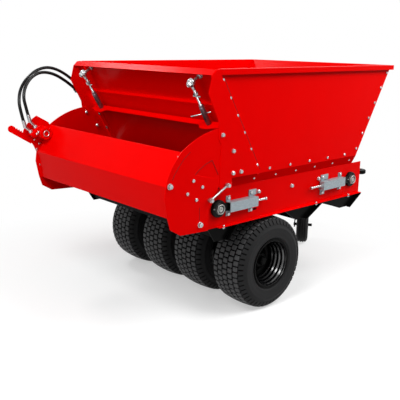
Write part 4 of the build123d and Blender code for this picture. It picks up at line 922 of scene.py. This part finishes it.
def brush_motor():
    """Gear motor in three bolted sections, with a port block on its side."""
    place = Matrix.Translation(at(MOTOR_X, MOTOR_Y, MOTOR_Z))
    corners = [(MOTOR_X + PORT_BLOCK_IN, *on_port(*corner)) for corner in PORT_BLOCK]
    block = plate(corners, (PORT_BLOCK_LONG, 0, 0))
    painted = [moved(rounded(spun(MOTOR_OUTLINE), 0.8), place), rounded(block, 3)]
    for k in range(4):
        turn = math.radians(45 + 90 * k)
        y, z = MOTOR_Y + CORNER_BOLT_R * math.cos(turn), MOTOR_Z + CORNER_BOLT_R * math.sin(turn)
        painted.append(moved(bar(radius=4.6, long=4), toward((MOTOR_X + MOTOR_END, y, z), (1, 0, 0))))
    piece("brush_motor_case", joined(*painted), RED, "chassis", "red_paint", "brush_motor")
    steel = [moved(spun(MOTOR_RING, 40), place)]
    for along in COVER_BOLTS:
        head = prism(sides=6, across=13, long=7, chamfer=1.2)
        head_at = (PORT_X + COVER_BOLT_IN, *on_port(COVER_BOLT_OUT, along))
        steel.append(moved(head, toward(head_at, (1, 0, 0))))
    piece("brush_motor_bolts", joined(*steel), ZINC, "chassis", "red_paint", smooth=30)


def hose_end(along, points):
    """Port nut, bent stem, and a ferrule crimped on the hose."""
    start = Vector(points[0])
    rise = (Vector(points[1]) - start).normalized()
    crimp = start - rise * FERRULE_LONG
    nut_end = Vector((PORT_X, *on_port(NUT_END, along)))
    stem = crimp - nut_end
    knuckle = bmesh.new()
    bmesh.ops.create_uvsphere(knuckle, u_segments=20, v_segments=12, radius=STEM_R * MM)

    def port(out):
        return toward((PORT_X, *on_port(out, along)), PORT_OUT)

    return joined(moved(prism(sides=6, across=22, long=9, chamfer=1.6), port(PORT_FACE)),
                  moved(bar(radius=9.5, long=6, chamfer=1), port(PORT_FACE + 8.5)),
                  moved(knuckle, Matrix.Translation(at(*nut_end))),
                  moved(bar(STEM_R, stem.length + 3), toward(nut_end, stem)),
                  moved(prism(sides=6, across=19, long=7, chamfer=1.2), toward(crimp - rise * 4, rise)),
                  moved(spun(FERRULE_OUTLINE, 32), toward(crimp, rise)))


brush_motor()
hose_ends = joined(hose_end(OUTER_PORT, HOSE_OUTER), hose_end(INNER_PORT, HOSE_INNER))
piece("hose_ends", hose_ends, ZINC, "chassis", "zinc_plate", "hose_fittings", smooth=30)


# Seams of the side plates, drawn as lines of painted shade

SEAM_WIDE, SEAM_PROUD, SEAM_ROUND = 2.4, 0.5, 0.3
PLATE_SEAMS = ([(-381, 926), (-418, 899), (-450, 863), (-473, 833), (-485, 811)],
               [(-350, 818), (-321, 840), (-289, 859), (-245, 874), (-204, 801)],
               [(-320, 658), (-320, 596)])
WING_SEAM = [(-179, 1275), (109, 785)]


def seam(points, x, side):
    """Fine dark red strip along points (y, z) on a side plate: painted shade along a seam or plate edge."""
    runs = []
    for (y0, z0), (y1, z1) in zip(points, points[1:]):
        size = (2 * SEAM_PROUD, math.hypot(y1 - y0, z1 - z0) + SEAM_WIDE / 2, SEAM_WIDE)
        run = rounded(moved(cube(), Matrix.Diagonal((*[d * MM for d in size], 1))), SEAM_ROUND, segments=1)
        turn = Matrix.Rotation(math.atan2(z1 - z0, y1 - y0), 4, "X")
        middle = at(side * x, (y0 + y1) / 2, (z0 + z1) / 2)
        runs.append(moved(run, Matrix.Translation(middle) @ turn))
    return runs


def seams():
    """Lines of painted shade along both sides' wing seams and housing plate edges."""
    parts = []
    for side in SIDES:
        parts += seam(WING_SEAM, WALL_X, side)
        for line in PLATE_SEAMS:
            parts += seam(line, HOUSE_X, side)
    piece("seam_shade_lines", joined(*parts), SEAM_SHADE, "chassis", "red_paint")


seams()


# Brush

BRUSH_R, CORE_R, BRUSH_HALF = 145, 38, 530
BRUSH_ROWS, TUFTS, TUFT_LINES = 10, 106, (-4, 4)
TUFT_ROOT_R, TUFT_TIP_R = 2.4, 4.2


def brush_bristles():
    """Rows of tufts along the core, each spread a little at its tip.

    Single filaments are too fine to show, so a tuft is one coarse bristle.
    """
    lines = []
    pitch = 2 * BRUSH_HALF / TUFTS
    for line, across in enumerate(TUFT_LINES):
        tuft = bmesh.new()
        bmesh.ops.create_cone(tuft, cap_ends=True, segments=6, radius1=TUFT_ROOT_R * MM,
                              radius2=TUFT_TIP_R * MM, depth=(BRUSH_R - CORE_R) * MM)
        moved(tuft, shift(-BRUSH_HALF + pitch * (0.3 + 0.5 * line), across, (BRUSH_R + CORE_R) / 2))
        shape = tuft.verts[:] + tuft.edges[:] + tuft.faces[:]
        bmesh.ops.spin(tuft, geom=shape, cent=(0, 0, 0), axis=(1, 0, 0), dvec=(pitch * MM, 0, 0), angle=0,
                       steps=TUFTS - 1, use_duplicate=True)
        lines.append(tuft)
    brush = moved(ring_of(joined(*lines), BRUSH_ROWS), Matrix.Translation(at(0, BRUSH_Y, BRUSH_Z)))
    piece("brush_tufts", brush, BRISTLE, "brush", "bristle", "brush_bristles", smooth=60)


brush_bristles()


# Hoses

def hose(name, points):
    """Hydraulic hose along its route, from its ferrule to the conveyor motor."""
    curve = bpy.data.curves.new(name + "_line", "CURVE")
    curve.dimensions = "3D"
    curve.bevel_depth = HOSE_R * MM
    curve.bevel_resolution = 5
    curve.resolution_u = 12
    line = curve.splines.new("NURBS")
    line.points.add(len(points) - 1)
    for point, place in zip(line.points, points):
        point.co = (*at(*place), 1)
    line.order_u = 3
    line.use_endpoint_u = True
    line.use_smooth = True
    curve.materials.append(HOSE_COVER)
    tube = placed(name + "_tube", curve)
    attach(tube, "chassis")
    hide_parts(name)


hose("hose_inner", HOSE_INNER)
hose("hose_outer", HOSE_OUTER)


# Camera, light and floor

CAMERA_AT = (2653.4, -2205.9, 1404.0)
CAMERA_YAW, CAMERA_PITCH, CAMERA_ROLL = 47.549, -14.209, 0.937
CAMERA_LENS, CAMERA_FILM = 56.0, 36.0
# Levels of light and grey, and in metres the floor's reach and where it fades to white
AROUND_LIGHT, WHITE = 0.33, 1.0
FLOOR_TONE, FLOOR_GLOW, FLOOR_BOUNCE = 0.6, 0.43, 0.3
FLOOR_REACH, FADE_FROM, FADE_TO = 40, 0.9, 1.9
FLOOR_DROP = 1
# Places that the lamps are turned to
REAR, SIDE = (0, -300, 900), (400, 300, 800)


def camera():
    """The photograph's viewpoint."""
    yaw, pitch, roll = (math.radians(a) for a in (CAMERA_YAW, CAMERA_PITCH, CAMERA_ROLL))
    data = bpy.data.cameras.new("camera")
    data.lens, data.sensor_width = CAMERA_LENS, CAMERA_FILM
    made = placed("camera", data)
    level = Matrix.Rotation(yaw, 4, "Z") @ Matrix.Rotation(math.radians(90) + pitch, 4, "X")
    made.matrix_world = Matrix.Translation(at(*CAMERA_AT)) @ level @ Matrix.Rotation(roll, 4, "Z")
    bpy.context.scene.camera = made


def lamp(name, place, target, size, watts):
    """Round soft lamp at a place on the drawing, turned to its target."""
    data = bpy.data.lights.new(name, "AREA")
    data.shape = "DISK"
    data.size = size
    data.energy = watts
    made = placed(name, data)
    made.location = at(*place)
    made.rotation_mode = "QUATERNION"
    made.rotation_quaternion = (at(*target) - at(*place)).to_track_quat("-Z", "Y")


def grey(tone):
    """Colour of a grey."""
    return (tone, tone, tone, 1)


def seen_rays(tree):
    """One where the camera, a reflection or a refraction looks, and nought where light is gathered."""
    path = add(tree, "ShaderNodeLightPath")
    shiny = add(tree, "ShaderNodeMath", operation="MAXIMUM", inputs={
        0: path.outputs["Is Glossy Ray"], 1: path.outputs["Is Transmission Ray"]})
    seen = add(tree, "ShaderNodeMath", operation="MAXIMUM", inputs={
        0: shiny.outputs["Value"], 1: path.outputs["Is Camera Ray"]})
    return seen.outputs["Value"]


def surroundings():
    """White to look at, with a softer level of light from all round."""
    world = bpy.data.worlds.new("studio")
    tree = cleared(world)
    level = add(tree, "ShaderNodeMapRange", {
        "Value": seen_rays(tree), "To Min": AROUND_LIGHT, "To Max": WHITE})
    light = add(tree, "ShaderNodeBackground", {"Color": grey(1), "Strength": level.outputs["Result"]})
    add(tree, "ShaderNodeOutputWorld", {"Surface": light.outputs["Background"]})
    bpy.context.scene.world = world


def white_floor():
    """Floor's material: it keeps the object's shadow near by, and fades to white further off."""
    material = bpy.data.materials.new("white_floor")
    tree = cleared(material)
    matt = add(tree, "ShaderNodeBsdfDiffuse", {"Color": grey(FLOOR_TONE)})
    glow = add(tree, "ShaderNodeEmission", {"Strength": FLOOR_GLOW})
    both = add(tree, "ShaderNodeAddShader", {0: matt.outputs["BSDF"], 1: glow.outputs["Emission"]})
    white = add(tree, "ShaderNodeEmission", {"Strength": WHITE})
    place = add(tree, "ShaderNodeTexCoord").outputs["Object"]
    away = add(tree, "ShaderNodeVectorMath", {0: place}, operation="LENGTH").outputs["Value"]
    fade = add(tree, "ShaderNodeMapRange", {"Value": away, "From Min": FADE_FROM, "From Max": FADE_TO})
    near = add(tree, "ShaderNodeMixShader", {
        0: fade.outputs["Result"], 1: both.outputs["Shader"], 2: white.outputs["Emission"]})
    bounce = add(tree, "ShaderNodeBsdfDiffuse", {"Color": grey(FLOOR_BOUNCE)})
    shown = add(tree, "ShaderNodeMixShader", {
        0: seen_rays(tree), 1: bounce.outputs["BSDF"], 2: near.outputs["Shader"]})
    add(tree, "ShaderNodeOutputMaterial", {"Surface": shown.outputs["Shader"]})
    return material


def floor():
    """Wide flat floor just under the wheels."""
    mesh = bpy.data.meshes.new("floor")
    bm = bmesh.new()
    bmesh.ops.create_grid(bm, x_segments=1, y_segments=1, size=FLOOR_REACH)
    bm.to_mesh(mesh)
    bm.free()
    mesh.materials.append(white_floor())
    made = placed("floor", mesh)
    made.location = at(0, 0, -FLOOR_DROP)


camera()
surroundings()
floor()
lamp("overhead", (1250, -2900, 3950), REAR, size=2.2, watts=130)
lamp("side", (3000, 1560, 3820), SIDE, size=2.4, watts=105)
lamp("rear", (900, -4200, 2100), REAR, size=1.6, watts=26)
lamp("left", (-3200, -370, 3590), REAR, size=0.8, watts=36)
lamp("front", (2100, 3600, 2720), SIDE, size=1.4, watts=40)

bpy.context.scene.view_settings.view_transform = "Standard"
